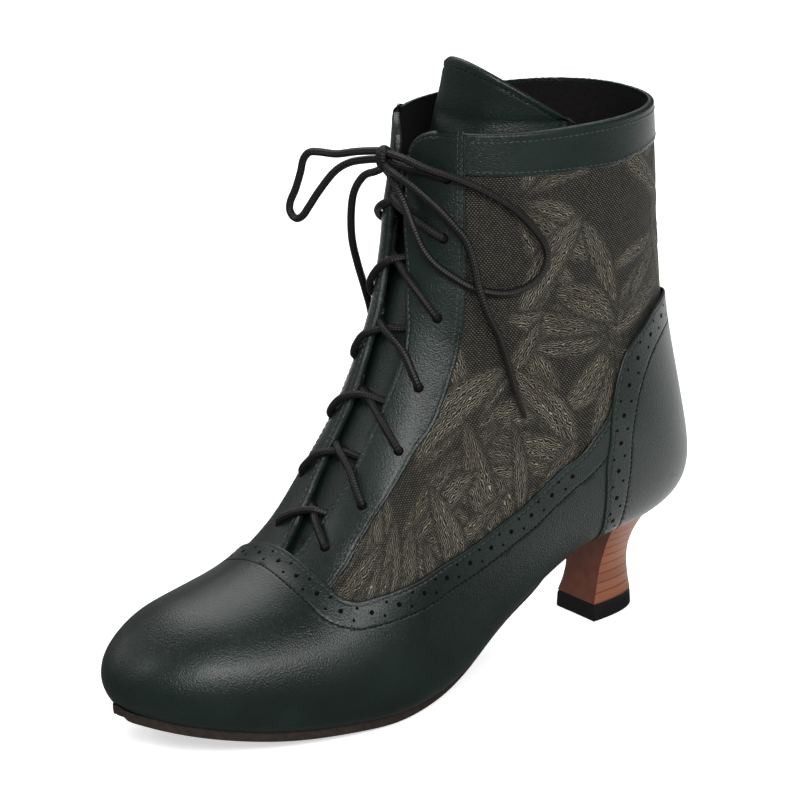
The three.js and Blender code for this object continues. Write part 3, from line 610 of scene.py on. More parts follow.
def clothMaterial(look):
    # black ground with staggered light picks, and raised taupe sprays from the motif attribute
    material, tree, shader = newMaterial("jacquard cloth")
    flat = addNode(tree, "ShaderNodeUVMap").outputs[0]
    split = addNode(tree, "ShaderNodeSeparateXYZ", {0: flat})
    place = addNode(tree, "ShaderNodeTexCoord").outputs["Object"]
    motif = addNode(tree, "ShaderNodeAttribute", attribute_name="motif").outputs["Fac"]
    cloud = addNode(tree, "ShaderNodeTexNoise", {"Vector": place, "Scale": 60.0, "Detail": 3.0}).outputs[0]
    wobble = addNode(tree, "ShaderNodeTexNoise", {"Vector": place, "Scale": 700.0, "Detail": 2.0}).outputs[0]
    row = maths(tree, "DIVIDE", split.outputs[1], look["row"])
    odd = maths(tree, "MULTIPLY", maths(tree, "MODULO", maths(tree, "FLOOR", row), 2.0), 0.5)
    column = maths(tree, "ADD", maths(tree, "DIVIDE", split.outputs[0], look["pitch"]), odd)
    acrossCell = maths(tree, "DIVIDE", maths(tree, "SUBTRACT", maths(tree, "FRACT", column), 0.5), 0.36)
    upCell = maths(tree, "DIVIDE", maths(tree, "SUBTRACT", maths(tree, "FRACT", row), 0.5), 0.36)
    away = maths(tree, "SQRT", maths(tree, "ADD", maths(tree, "MULTIPLY", acrossCell, acrossCell),
                                     maths(tree, "MULTIPLY", upCell, upCell)))
    pick = ranged(tree, away, 0.45, 1.05, 1, 0)
    strong = ranged(tree, wobble, 0.3, 0.65, 0.35, 1)
    thread = maths(tree, "MULTIPLY", pick, strong)
    across = addNode(tree, "ShaderNodeAttribute", attribute_name="rib").outputs["Fac"]
    loops = addNode(tree, "ShaderNodeTexNoise", {"Vector": place, "Scale": 560.0, "Detail": 1.0}).outputs[0]
    ribs = maths(tree, "ADD", maths(tree, "DIVIDE", across, look["rib"]),
                 maths(tree, "MULTIPLY", loops, look["swing"]))
    ribs = maths(tree, "ABSOLUTE", maths(tree, "SUBTRACT", maths(tree, "FRACT", ribs), 0.5))
    ridge = maths(tree, "MULTIPLY", ranged(tree, ribs, 0.04, 0.24, 1, 0), strong)
    ground = mixed(tree, thread, colour(look["ground"]), colour(look["pick"]))
    light = mixed(tree, ranged(tree, cloud, 0.42, 0.62, 0, 1), colour(look["motif"]),
                  colour(look["motifWarm"]))
    raised = mixed(tree, ridge, colour(look["motifDark"]), light)
    shade = mixed(tree, motif, ground, raised)
    tree.links.new(shade, shader.inputs["Base Color"])
    surface = addNode(tree, "ShaderNodeMix", {0: motif, 2: pick, 3: ridge}).outputs[0]
    height = maths(tree, "ADD", maths(tree, "MULTIPLY", surface, 0.6), maths(tree, "MULTIPLY", motif, 0.9))
    height = maths(tree, "ADD", height, maths(tree, "MULTIPLY", wobble, 0.35))
    relief = addNode(tree, "ShaderNodeBump", {"Height": height, "Strength": 0.7, "Distance": 0.00045})
    tree.links.new(relief.outputs[0], shader.inputs["Normal"])
    shader.inputs["Roughness"].default_value = 0.75
    shader.inputs["Specular IOR Level"].default_value = 0.25
    shader.inputs["Sheen Weight"].default_value = look["sheen"]
    shader.inputs["Sheen Roughness"].default_value = 0.4
    return material


clothLook = {"pitch": 0.00125, "row": 0.00072, "ground": "#070706", "pick": "#59554a", "motif": "#8c8776",
             "motifDark": "#14130f", "motifWarm": "#7c7464", "sheen": 0.03, "rib": 0.85, "swing": 2.6}
cloth = clothMaterial(clothLook)
lining = plainMaterial("black suede lining", "#0b0a0a", "#171414", 0.95, 1400.0, 0.5, 0.15)
threadDark = plainMaterial("green thread", "#171d1b", "#424b48", 0.4, 3000.0, 0.3, 0.6)
# near-black paint for the shade inside the holes; the thin stitch rows are drawn in it too
holeDark = plainMaterial("shadowed hole", "#020302", "#040504", 0.9, 900.0, 0.1, 0.1)
soleMaterial = plainMaterial("outsole rubber", "#1c1512", "#2c211c", 0.62, 500.0, 0.4, 0.35)
tipMaterial = plainMaterial("black rubber", "#0b0b0b", "#131313", 0.6, 900.0, 0.4, 0.25)
breastMaterial = plainMaterial("stained leatherboard", "#532c20", "#5e3627", 0.5, 300.0, 0.2, 0.4)


def stackMaterial(look):
    # tan leatherboard stack: one tone per layer, thin dark joints, long fine fibres
    material, tree, shader = newMaterial("stacked leather")
    place = addNode(tree, "ShaderNodeTexCoord").outputs["Object"]
    split = addNode(tree, "ShaderNodeSeparateXYZ", {0: place})
    wave = addNode(tree, "ShaderNodeTexNoise", {"Vector": place, "Scale": 60.0, "Detail": 2.0}).outputs[0]
    high = maths(tree, "ADD", split.outputs[2], maths(tree, "MULTIPLY", wave, 0.0007))
    layer = maths(tree, "DIVIDE", high, look["layer"])
    tone = addNode(tree, "ShaderNodeTexWhiteNoise", {"W": maths(tree, "FLOOR", layer)},
                   noise_dimensions="1D").outputs[0]
    joint = ranged(tree, maths(tree, "ABSOLUTE", maths(tree, "SUBTRACT", maths(tree, "FRACT", layer), 0.5)),
                   0.4, 0.47, 0, 1)
    stretched = addNode(tree, "ShaderNodeMapping",
                        {"Vector": place, "Scale": (90.0, 90.0, 3000.0)}).outputs[0]
    fibre = addNode(tree, "ShaderNodeTexNoise", {"Vector": stretched, "Scale": 1.0, "Detail": 4.0}).outputs[0]
    base = mixed(tree, tone, colour(look["dark"]), colour(look["light"]))
    fibrous = mixed(tree, ranged(tree, fibre, 0.35, 0.75, 0, 0.35), base, colour(look["fibre"]))
    shade = mixed(tree, maths(tree, "MULTIPLY", joint, look["joint"]), fibrous, colour(look["line"]))
    tree.links.new(shade, shader.inputs["Base Color"])
    height = maths(tree, "SUBTRACT", maths(tree, "MULTIPLY", fibre, 0.3), joint)
    relief = addNode(tree, "ShaderNodeBump", {"Height": height, "Strength": 0.35, "Distance": 0.0003})
    tree.links.new(relief.outputs[0], shader.inputs["Normal"])
    shader.inputs["Roughness"].default_value = 0.5
    shader.inputs["Specular IOR Level"].default_value = 0.3
    return material


stackLook = {"layer": 0.0036, "dark": "#70402a", "light": "#7d4b31", "fibre": "#633722", "line": "#431f14",
             "joint": 0.6}
stack = stackMaterial(stackLook)


def laceMaterial(look):
    # waxed round braid: crossing strands drawn from the cord's own length, with painted highlight on their
    # crests and painted shade in the hollows between them
    material, tree, shader = newMaterial("waxed lace")
    flat = addNode(tree, "ShaderNodeUVMap").outputs[0]
    split = addNode(tree, "ShaderNodeSeparateXYZ", {0: flat})
    around = maths(tree, "MULTIPLY", split.outputs[0], look["strands"])
    along = maths(tree, "DIVIDE", split.outputs[1], look["pitch"])
    one = maths(tree, "SINE", maths(tree, "MULTIPLY", maths(tree, "ADD", around, along), 6.2832))
    other = maths(tree, "SINE", maths(tree, "MULTIPLY", maths(tree, "SUBTRACT", around, along), 6.2832))
    weave = maths(tree, "MULTIPLY", one, other)
    # painted highlight and shade: dark in the braid's hollows, light on its crests, following the bump
    shade = mixed(tree, ranged(tree, weave, -1, 1, 0, 1), colour(look["dark"]), colour(look["light"]))
    tree.links.new(shade, shader.inputs["Base Color"])
    relief = addNode(tree, "ShaderNodeBump", {"Height": weave, "Strength": 0.6, "Distance": 0.0002})
    tree.links.new(relief.outputs[0], shader.inputs["Normal"])
    shader.inputs["Roughness"].default_value = 0.5
    shader.inputs["Specular IOR Level"].default_value = 0.4
    return material


# dark is painted shade in the braid's hollows, light is painted highlight on its crests
laceLook = {"strands": 4.0, "pitch": 0.0021, "dark": "#050505", "light": "#151210"}
lace = laceMaterial(laceLook)
aglet = plainMaterial("lace tip", "#150f0d", "#221814", 0.35, 600.0, 0.15, 0.5)


# The upper's panels
def line(points, count=90):
    return smoothLine(points, count)


def negative(points):
    return [(station, -turn) for station, turn in points]


vampTop = np.vstack([line(vampTopHalf)[::-1], line(mirrored(vampTopHalf))[1:]])
vampLow = moved(vampTop, 10.0)
counterEdge = np.vstack([line(counterHalf)[::-1], line(negative(counterHalf))[1:]])
counterLow = np.vstack([line(counterLowHalf)[::-1], line(negative(counterLowHalf))[1:]])
throatEdges = {"lateral": line(throatLateral, 140), "medial": line(throatMedial, 140)}
outerSeams = {"lateral": line(seamLateral, 120), "medial": line(seamMedial, 120)}
bandLow = np.vstack([line(bandHalf, 60)[1:], line(negative([(s, t * 0.9) for s, t in bandHalf]),
                                                  60)[::-1][1:]])
collarTop = np.array([(14.98, turn) for turn in np.linspace(0.412, -0.372, 90)])


def leafMask(u, v, look):
    # the raised leaves on the unrolled cloth, in mm: how high each place stands,
    # and how far it is off its leaf's middle
    mask = np.zeros(u.shape)
    rib = np.zeros(u.shape)
    for number, (centreU, centreV, first, last, leaves, reach) in enumerate(look["sprays"]):
        for leaf in range(leaves):
            wobble = 6 * math.sin(3 * leaf + number)
            angle = math.radians(first + (last - first) * leaf / (leaves - 1) + wobble)
            length = reach * (1 + 0.24 * math.sin(2.3 * leaf + 1.7 * number))
            half = look["half"] * (1 + 0.3 * math.sin(1.9 * leaf + 2.6 * number))
            along = ((u - centreU) * math.cos(angle) + (v - centreV) * math.sin(angle)) / length
            across = (v - centreV) * math.cos(angle) - (u - centreU) * math.sin(angle)
            across = across - look["bend"] * length * along ** 2 * math.cos(1.3 * leaf + number)
            inside = np.clip((along - 0.07) / 0.93, 0, 1)
            width = half * np.sin(np.pi * inside ** 1.3) ** 0.7
            within = (along > 0.05) & (along < 1.02)
            cover = np.clip((width + look["gap"] - np.abs(across)) / look["gap"], 0, 1) * within
            body = np.clip((width - np.abs(across)) / look["soft"], 0, 1)
            body = body * (1 - 0.65 * np.exp(-(across / 0.45) ** 2))
            mask = mask * (1 - cover) + body * cover
            rib = np.where(cover > 0.5, across, rib)
    return mask, rib


# Sprays of leaves: middle, first and last direction, number of leaves, length
leafLook = {"half": 5.4, "bend": 0.34, "gap": 0.8, "soft": 2.2,
            "sprays": [(-60, 176, -75, 60, 5, 40), (30, 205, 185, 285, 6, 48), (-64, 128, -70, 70, 6, 42),
                       (36, 148, 130, 260, 8, 66), (-18, 122, 60, 300, 8, 42), (34, 92, 115, 250, 7, 58),
                       (-84, 96, -70, 80, 6, 44), (-36, 72, -20, 200, 8, 44), (-4, 46, 80, 230, 7, 46),
                       (-112, 84, -75, 60, 6, 44), (-70, 48, 15, 175, 7, 44), (-126, 56, -30, 110, 7, 46),
                       (-152, 58, -70, 40, 6, 42), (-30, 30, 20, 160, 6, 36), (44, 50, 110, 200, 5, 50),
                       (-98, 30, 10, 130, 6, 42), (-140, 30, 0, 95, 6, 42), (-172, 42, -20, 60, 5, 40)]}


def unrolled(station, turn):
    # how far along the cloth each place lies, in mm: level, and up
    stations = np.linspace(5, lastStation, 160)
    turns = np.linspace(-0.02, 0.46, 121)
    points = formPoint(stations[:, None], turns[None])
    steps = np.diff(points, axis=1)
    flat = np.sqrt(np.maximum((steps ** 2).sum(2) - steps[..., 2] ** 2, 0))
    along = np.concatenate([np.zeros((160, 1)), np.cumsum(flat, axis=1)], axis=1)
    side = np.argmin(np.abs(turns - 0.25))
    table = points[:, side, 1][:, None] - (along - along[:, side][:, None])
    row = np.clip(np.interp(station, stations, np.arange(160)), 0, 158.999)
    column = np.clip(np.interp(np.abs(turn), turns, np.arange(121)), 0, 119.999)
    i, j = row.astype(int), column.astype(int)
    a, b = row - i, column - j
    u = (table[i, j] * (1 - a) * (1 - b) + table[i + 1, j] * a * (1 - b) + table[i, j + 1] * (1 - a) * b
         + table[i + 1, j + 1] * a * b)
    return u, formPoint(station, turn)[..., 2]


def clothExtras(station, turn, distance):
    u, v = unrolled(station, turn)
    motif, rib = leafMask(u, v, leafLook)
    return {"u": u, "v": v, "motif": motif, "rib": rib, "raise": 0.28 * motif}


pieces = {}


def makeCloth(side):
    sign = 1 if side == "lateral" else -1
    seam = outerSeams[side][:, 1] - (0 if side == "lateral" else 1)
    front = [(station, turn + sign * 0.012) for station, turn in zip(outerSeams[side][::6, 0], seam[::6])]
    low = [(5.35, 0.37), (6.02, 0.33), (6.8, 0.3), (7.95, 0.26), (8.85, 0.235), (9.5, 0.225), (10.6, 0.22),
           (11.2, 0.2), (12.0, 0.17), (12.5, 0.13), (12.75, 0)]
    outline = front + [(14.9, front[-1][1]), (14.9, 0)] + [(station, sign * turn) for station,
                                                           turn in low[::-1]]
    legStations = (8.0, 12.0)
    if side == "lateral":
        turns = evenTurns(-0.006, 0.43, 0.85, legStations)
    else:
        turns = evenTurns(-0.43, 0.006, 1.0, legStations)
    name = "cloth_" + side
    pieces[name] = makeSheet(name, {"height": -0.95, "thickness": 1.2}, outline, [],
                             np.arange(5.1, 15, 0.033),
                             turns, cloth, extras=clothExtras)


makeCloth("lateral")
makeCloth("medial")
print("cloth")


def makeEyestay(side):
    throat = throatEdges[side]
    seam = outerSeams[side]
    outline = np.vstack([throat, seam[::-1]])
    low, high = (0.36, 0.52) if side == "lateral" else (0.48, 0.66)
    name = "eyestay_" + side
    stations = np.concatenate([np.arange(4.9, 14.2, 0.06), np.arange(14.2, 15.001, 0.03)])
    sign = 1 if side == "lateral" else -1
    grooves = [(moved(throat, -1.9 * sign), 0.45, 0.12), (moved(seam, 1.4 * sign), 0.4, 0.12)]
    edges = [(throat, 2.4, 1.1), (seam, 0.9, 0.6)]
    return name, outline, edges, grooves, stations, evenTurns(low, high, 1.0, (6.0, 9.0, 12.0))


for side in ("lateral", "medial"):
    name, outline, edges, grooves, stations, turns = makeEyestay(side)
    pieces[name] = makeSheet(name, {"height": 0.0, "thickness": 2.5}, outline, edges, stations, turns,
                             leather, grooves)
print("eyestays")

bandOutline = np.vstack([collarTop, [(14.3, -0.372)], bandLow[::-1], [(14.25, 0.412)]])
bandStations = np.concatenate([np.arange(14.1, 14.8, 0.05), np.arange(14.8, 15.001, 0.02)])
pieces["collar"] = makeSheet("collar", {"height": -0.2, "thickness": 2.2}, bandOutline,
                             [(collarTop, 2.1, 1.0), (bandLow, 0.55, 0.5)], bandStations,
                             evenTurns(-0.385, 0.42, 1.2, (14.5, 15.0)), leather)

vampOutline = np.vstack([vampTop, [(10.9, 0.94), (9, 0.955), (8, 0.95), (7, 0.94), (5, 0.915), (2, 0.92),
                                   (-0.3, 0.92),
                                   (-0.3, 0.08), (2, 0.08), (5, 0.085), (7, 0.06), (8, 0.05), (9, 0.045),
                                   (10.9, 0.06)]])
vampStations = np.concatenate([[0, 0.03, 0.07, 0.12, 0.18, 0.25], np.arange(0.33, 11, 0.085)])
pieces["vamp"] = makeSheet("vamp", {"height": 0.5, "thickness": 0.75}, vampOutline, [(vampTop, 0.7, 0.6)],
                           vampStations,
                           evenTurns(0.03, 0.97, 1.7), leather,
                           [(moved(vampTop, 1.7), 0.4, 0.1), (vampLow, 0.4, 0.16)])

pieces["counter"] = makeSheet("counter", {"height": 1.0, "thickness": 0.75}, counterEdge,
                              [(counterEdge, 0.7, 0.6)],
                              np.arange(9.0, 13.3, 0.06), evenTurns(-0.29, 0.29, 1.4, (9.5, 11.0, 12.5)),
                              leather,
                              [(moved(counterEdge, -1.5), 0.4, 0.1), (placed(counterLow), 0.4, 0.14)])

liningOutline = [(4, 0.47), (5.5, 0.455), (7.1, 0.44), (9.1, 0.432), (10.5, 0.455), (12.1, 0.47),
                 (13.3, 0.478),
                 (14.96, 0.47), (14.96, -0.43), (13.3, -0.452), (12.1, -0.456), (10.5, -0.46), (9.1, -0.466),
                 (7.1, -0.467), (5.5, -0.49), (4, -0.5)]
pieces["lining"] = makeSheet("lining", {"height": -1.7, "thickness": 1.0}, liningOutline, [],
                             np.arange(3.9, 15, 0.13),
                             np.arange(-0.52, 0.49, 0.01), lining)
print("leather panels")


def tableAt(table, place):
    table = np.array(table, float)
    return np.stack([np.interp(place, table[:, 0], column) for column in table.T[1:]], axis=-1)


# Sole, heel and insole
featherTable = [(0, 0.11), (2, 0.11), (5, 0.115), (6, 0.105), (7, 0.085), (8, 0.07), (9, 0.062), (10, 0.07),
                (10.6, 0.09)]
soleLook = {"thickness": 3.95, "proud": 0.7, "toeProud": 1.1, "toeRadius": 8.0, "lastStation": 9.43,
            "breast": 10.0}


def makeOutsole():
    stations = np.concatenate([[0, 0.04, 0.1, 0.18, 0.28], np.arange(0.4, soleLook["lastStation"], 0.1),
                               [soleLook["lastStation"]]])
    shares = np.sin(np.linspace(-np.pi / 2, np.pi / 2, 33))
    rows = len(stations)
    across = len(shares)
    waist = np.clip((stations - 8.3) / 1.1, 0, 1)
    waist = waist * waist * (3 - 2 * waist)
    edgeTurn = tableAt(featherTable, stations)[:, 0] * (1 - 0.97 * waist)
    station = np.repeat(stations, across)
    turn = (edgeTurn[:, None] * shares[None]).ravel()
    base = formPoint(station, turn)
    outline = formPoint(stations, edgeTurn)
    outlineBack = formPoint(stations, -edgeTurn)
    middle = (outline + outlineBack) / 2
    outward = unit(base - np.repeat(middle, across, axis=0) + np.array([0, -0.02, 0])
                   - np.repeat(np.clip(1 - stations / 1.6, 0, 1), across)[:, None] * np.array([0, 3.0, 0]))
    outward[:, 2] = 0
    proud = soleLook["proud"] * np.abs(np.tile(shares, rows)) ** 8
    toeShare = np.clip(1 - station / 0.3, 0, 1)
    nearToe = np.clip(1 - station / 1.4, 0, 1)
    proud = np.maximum(proud, soleLook["proud"] * toeShare) + soleLook["toeProud"] * nearToe
    top = base + outward * proud[:, None] + np.array([0, 0, -0.35])
    toe = np.sqrt(np.clip(station / 0.3, 0, 1))
    thick = soleLook["thickness"] * (1 - 0.4 * np.repeat(waist, across)) * (0.1 + 0.9 * toe)
    bottom = base + outward * (proud * 0.85)[:, None] - thick[:, None] * np.array([0, 0, 1])
    bottom[:, 2] = np.maximum(bottom[:, 2], 0)
    radius = soleLook["toeRadius"]
    aside = np.minimum(np.abs(base[:, 0] - base[0, 0]), radius / 2)
    rounded = 2 * radius / 3 ** 0.5 - np.sqrt(radius ** 2 - aside ** 2) - aside / 3 ** 0.5
    for surface in (top, bottom):
        surface[:, 1] += rounded * (station < 1.5)
        surface[-across:, 1] = -soleLook["breast"]
    top = top.reshape(rows, across, 3)
    bottom = bottom.reshape(rows, across, 3)
    # a ring per row: the top from one edge to the other, a bevelled wall, and the bottom back again
    wallOne = top[:, -1:] * 0.55 + bottom[:, -1:] * 0.45
    wallTwo = top[:, :1] * 0.55 + bottom[:, :1] * 0.45
    lateralOut = np.array([0.25, 0, 0])
    rings = np.concatenate([top, wallOne + lateralOut, bottom[:, ::-1], wallTwo - lateralOut], axis=1)
    count = rings.shape[1]
    faces = ringFaces(rows, count)
    faces += [list(range(count))[::-1], list(range((rows - 1) * count, rows * count))]
    piece = meshObject("outsole", rings.reshape(-1, 3), faces, soleMaterial)
    tidyMesh(piece, 35)
    return piece


def tidyMesh(piece, sharpAngle=None):
    joined = bmesh.new()
    joined.from_mesh(piece.data)
    bmesh.ops.remove_doubles(joined, verts=joined.verts, dist=4e-6)
    bmesh.ops.recalc_face_normals(joined, faces=joined.faces)
    joined.to_mesh(piece.data)
    joined.free()
    if sharpAngle:
        piece.data.set_sharp_from_angle(angle=math.radians(sharpAngle))


pieces["outsole"] = makeOutsole()


def makeInsole():
    # the sock's face and the board beneath, between the linings
    stations = np.arange(1.0, 11.61, 0.2)
    shares = np.linspace(-1, 1, 25)
    edge = np.interp(stations, [1, 2, 5, 7, 9, 10, 11, 11.6], [0.15, 0.15, 0.16, 0.15, 0.15, 0.2, 0.23, 0.25])
    station = np.repeat(stations, 25)
    turn = (edge[:, None] * shares[None]).ravel()
    wall = surfacePoint(station, turn, np.full(len(station), -3.7))
    level = surfacePoint(station, turn * 0, np.full(len(station), -6.0))
    top = wall.copy()
    top[:, 2] = np.maximum(level[:, 2] + 0.8 * np.tile(np.abs(shares) ** 2, len(stations)), wall[:, 2])
    rings = np.concatenate([top.reshape(-1, 25, 3), wall.reshape(-1, 25, 3)[:, ::-1] - np.array([0, 0, 0.3])],
                           axis=1)
    count = rings.shape[1]
    faces = []
    for i in range(len(stations) - 1):
        for j in range(count):
            k = (j + 1) % count
            faces.append([i * count + j, i * count + k, (i + 1) * count + k, (i + 1) * count + j])
    faces += [list(range(count))[::-1], list(range((len(stations) - 1) * count, len(stations) * count))]
    piece = meshObject("insole", rings.reshape(-1, 3), faces, lining)
    tidyMesh(piece)
    return piece


pieces["insole"] = makeInsole()

heelTable = [(0, 0.5, 0.5, 0.5), (0.16, 0.483, 0.493, 0.491), (0.27, 0.41, 0.465, 0.449),
             (0.4, 0.352, 0.445, 0.428),
             (0.52, 0.319, 0.44, 0.452), (0.64, 0.307, 0.455, 0.528), (0.765, 0.319, 0.515, 0.639),
             (0.89, 0.344, 0.62, 0.79), (1.02, 0.37, 0.8, 0.98), (1.3, 0.4, 0.9, 1.25)]
heelLook = {"seatHeight": 40.5, "tipLength": 24.3, "tipWidth": 21.6, "tipThickness": 6.35, "roundness": 0.85}


def softTable(table, places):
    # the table's values through a rounded line instead of straight ones
    table = np.array(table, float)
    fine = np.linspace(table[0, 0], table[-1, 0], 200)
    straight = tableAt(table, fine)
    weights = np.exp(-np.linspace(-2.5, 2.5, 19) ** 2 / 2)
    padded = np.vstack([2 * straight[0] - straight[9:0:-1], straight, 2 * straight[-1] - straight[-2:-11:-1]])
    soft = np.stack([np.convolve(column, weights / weights.sum(), "valid") for column in padded.T], axis=1)
    return np.stack([np.interp(places, fine, column) for column in soft.T], axis=-1)


def heelRing(height):
    breast, back, half = softTable(heelTable, height / heelLook["seatHeight"])
    front = breast * heelLook["tipLength"]
    depth = (breast + back) * heelLook["tipLength"]
    angles = np.linspace(np.pi, 0, 57)
    power = heelLook["roundness"]
    x = half * heelLook["tipWidth"] * np.sign(np.cos(angles)) * np.abs(np.cos(angles)) ** power
    y = depth * np.abs(np.sin(angles)) ** power - front
    flat = np.linspace(x[-1], x[0], 14)[1:-1]
    ring = np.concatenate([np.stack([x, y], axis=1), np.stack([flat, np.full(12, -front)], axis=1)])
    return np.column_stack([ring, np.full(len(ring), height)])


def makeHeel():
    body = surfaceAt(0.9, np.arange(7.5, 13, 0.08), np.linspace(-0.3, 0.3, 90))
    heights = np.concatenate([[heelLook["tipThickness"] + 0.25], np.arange(7.5, 53, 0.75)])
    columns = np.stack([heelRing(height) for height in heights], axis=1)
    rows = 56
    shaped = []
    for column in columns:
        path = [column[0]]
        for a, b in zip(column, column[1:]):
            step = Vector(b - a)
            hit = body.ray_cast(Vector(a), step.normalized(), step.length)
            if hit[0]:
                path.append(np.array(hit[0]) + np.array(step.normalized()) * 0.5)
                break
            path.append(b)
        shaped.append(evenly(np.array(path), rows))
    rings = np.stack(shaped, axis=1)
    count = rings.shape[1]
    faces = ringFaces(rows, count)
    faces += [list(range(count))[::-1]]
    vertices = np.vstack([rings.reshape(-1, 3), rings[-1].mean(axis=0)[None] + np.array([0, 0, 1.0])])
    lastRing = (rows - 1) * count
    faces += [[lastRing + j, lastRing + (j + 1) % count, len(vertices) - 1] for j in range(count)]
    piece = meshObject("heel", vertices, faces, stack)
    piece.data.materials.append(breastMaterial)
    tidyMesh(piece, 50)
    for polygon in piece.data.polygons:
        if polygon.normal.y < -0.75 and abs(polygon.normal.x) < 0.3:
            polygon.material_index = 1
    return piece


def makeHeelTip():
    heights = [0, 0.35, 0.8, 2.5, 4.5, 5.9, heelLook["tipThickness"]]
    insets = [0.4, 0.1, 0, 0, 0, 0.05, 0.3]
    rings = []
    for height, inset in zip(heights, insets):
        ring = heelRing(height)
        centre = ring.mean(axis=0)
        outward = ring - centre
        outward[:, 2] = 0
        rings.append(ring - unit(outward) * inset)
    count = len(rings[0])
    faces = ringFaces(len(heights), count)
    faces += [list(range(count))[::-1], list(range((len(heights) - 1) * count, len(heights) * count))]
    piece = meshObject("heel_top_piece", np.vstack(rings), faces, tipMaterial)
    tidyMesh(piece, 40)
    return piece


pieces["heel"] = makeHeel()
pieces["tip"] = makeHeelTip()
print("sole and heel")

# Tongue
tongueTable = [(4.9, 0, 0, 0.045), (5.6, 0, 0, 0.065), (6.5, 0, 0, 0.082), (7.8, 0, 0, 0.1),
               (9.1, 0, 0.03, 0.115),
               (10.5, 0, 0.1, 0.13), (12.1, 0, 0.28, 0.15), (13.3, 0, 0.5, 0.17), (14.3, 0, 0.72, 0.19),
               (15, 0, 0.88, 0.2), (15, 0.5, 0.96, 0.2), (15, 1, 1, 0.2)]
tongueLook = {"rise": 21.5, "lean": 15, "thickness": 2.2, "groove": 0.45, "grooveIn": 2.4,
              "grooveHalf": 0.45}


def tonguePoint(place, across, depth):
    station, rise, lean, half = place
    point = surfacePoint(station, 0.5 - across * half, -3.9 - depth)
    point[:, 0] = point[:, 0] * (1 - 0.06 * lean) + rise * (2.5 + 3.5 * np.clip(-across, 0, 1))
    point[:, 1] += tongueLook["lean"] * lean
    point[:, 2] += tongueLook["rise"] * rise * (1 - 1.12 * np.abs(across) ** 1.8)
    return point


def tonguePlaces(count):
    rows = np.array(tongueTable, float)
    middles = np.array([tonguePoint(row, np.zeros(1), np.zeros(1))[0] for row in rows])
    lengths = np.concatenate([[0], np.cumsum(np.linalg.norm(np.diff(middles, axis=0), axis=1))])
    wanted = np.linspace(0, lengths[-1], count)
    return np.stack([np.interp(wanted, lengths, column) for column in rows.T], axis=1)


def makeTongue():
    rows, columns = 170, 61
    places = tonguePlaces(rows)
    across = np.sin(np.linspace(-1, 1, columns) * 1.35) / math.sin(1.35)
    outer = np.stack([tonguePoint(place, across, np.zeros(columns)) for place in places])
    depth = np.full(columns, tongueLook["thickness"])
    inner = np.stack([tonguePoint(place, across, depth) for place in places])
    border = np.vstack([outer[:, 0], outer[-1], outer[:, -1]])
    tree = KDTree(len(border))
    for index, point in enumerate(border):
        tree.insert(point, index)
    tree.balance()
    edge = np.array([tree.find(point)[2] for point in outer.reshape(-1, 3)]).reshape(rows, columns)
    thick = (outer - inner)
    rounding = edgeRounding(edge, 1.2) * 0.5
    fromGroove = (edge - tongueLook["grooveIn"]) / tongueLook["grooveHalf"]
    groove = tongueLook["groove"] * np.exp(-fromGroove ** 2) / tongueLook["thickness"]
    share = (rounding + groove)[..., None]
    outerFace = outer - thick * share
    innerFace = inner + thick * rounding[..., None]
    rings = np.concatenate([outerFace[:, :], innerFace[:, ::-1]], axis=1)
    count = rings.shape[1]
    faces = ringFaces(rows, count)
    for i in (0, rows - 1):
        for j in range(columns - 1):
            face = [i * count + j, i * count + j + 1, i * count + count - 2 - j, i * count + count - 1 - j]
            faces.append(face if i else face[::-1])
    piece = meshObject("tongue", rings.reshape(-1, 3), faces, leather)
    tidyMesh(piece)
    seam = []
    for column in range(columns):
        row = rows - 1 - int(np.argmax(edge[::-1, column] > tongueLook["grooveIn"]))
        if rows - 45 < row < rows - 1:
            seam.append(outerFace[row, column])
    return piece, np.array(seam)


pieces["tongue"], tongueSeam = makeTongue()
print("tongue")

# Laces
laceSize = {"radius": 1.4, "over": 1.45, "gapOver": 0.7, "gapUnder": -1.6, "behind": -4.5, "spacing": 0.8}
throatTable = [(5.35, 0.487, 0.489), (6, 0.474, 0.508), (7.1, 0.459, 0.517), (9.1, 0.45, 0.518),
               (10.5, 0.477, 0.523),
               (12.1, 0.49, 0.527), (13.3, 0.498, 0.53), (15, 0.505, 0.534)]
knotCentre = np.array([-5, -88.6, 190.5])


def eyelet(side, number):
    station, turn = eyeletTable[number]
    edge, farEdge = tableAt(throatTable, station)
    return (station, turn, edge, farEdge) if side == "lateral" else (station, edge + farEdge - turn, farEdge,
                                                                     edge)


def crossingPoints(side, number, over):
    # from the hole on one side, over its own edge, across the gap and behind the other side to the next hole
    other = "medial" if side == "lateral" else "lateral"
    station, turn, edge, _ = eyelet(side, number)
    nextStation, nextTurn, nextEdge, _ = eyelet(other, number + 1)
    rise = nextStation - station
    middle = (edge + nextEdge) / 2
    inGap = laceSize["gapOver"] if over else laceSize["gapUnder"]
    stops = [(station, turn, -4.2), (station, turn, -1.2),
             (station + rise * 0.02, turn + (edge - turn) * 0.06, 0.8),
             (station + rise * 0.12, turn + (edge - turn) * 0.4, laceSize["over"] + 0.15),
             (station + rise * 0.27, turn + (edge - turn) * 0.9, laceSize["over"]),
             (station + rise * 0.42, middle, inGap),
             (station + rise * 0.54, nextEdge + (nextEdge - middle) * 0.4, -3.9),
             (station + rise * 0.7, nextEdge + (nextTurn - nextEdge) * 0.5, laceSize["behind"] - 0.2),
             (station + rise * 0.9, nextEdge + (nextTurn - nextEdge) * 0.92, laceSize["behind"])]
    return [surfacePoint(a, b, c) for a, b, c in np.array(stops)]


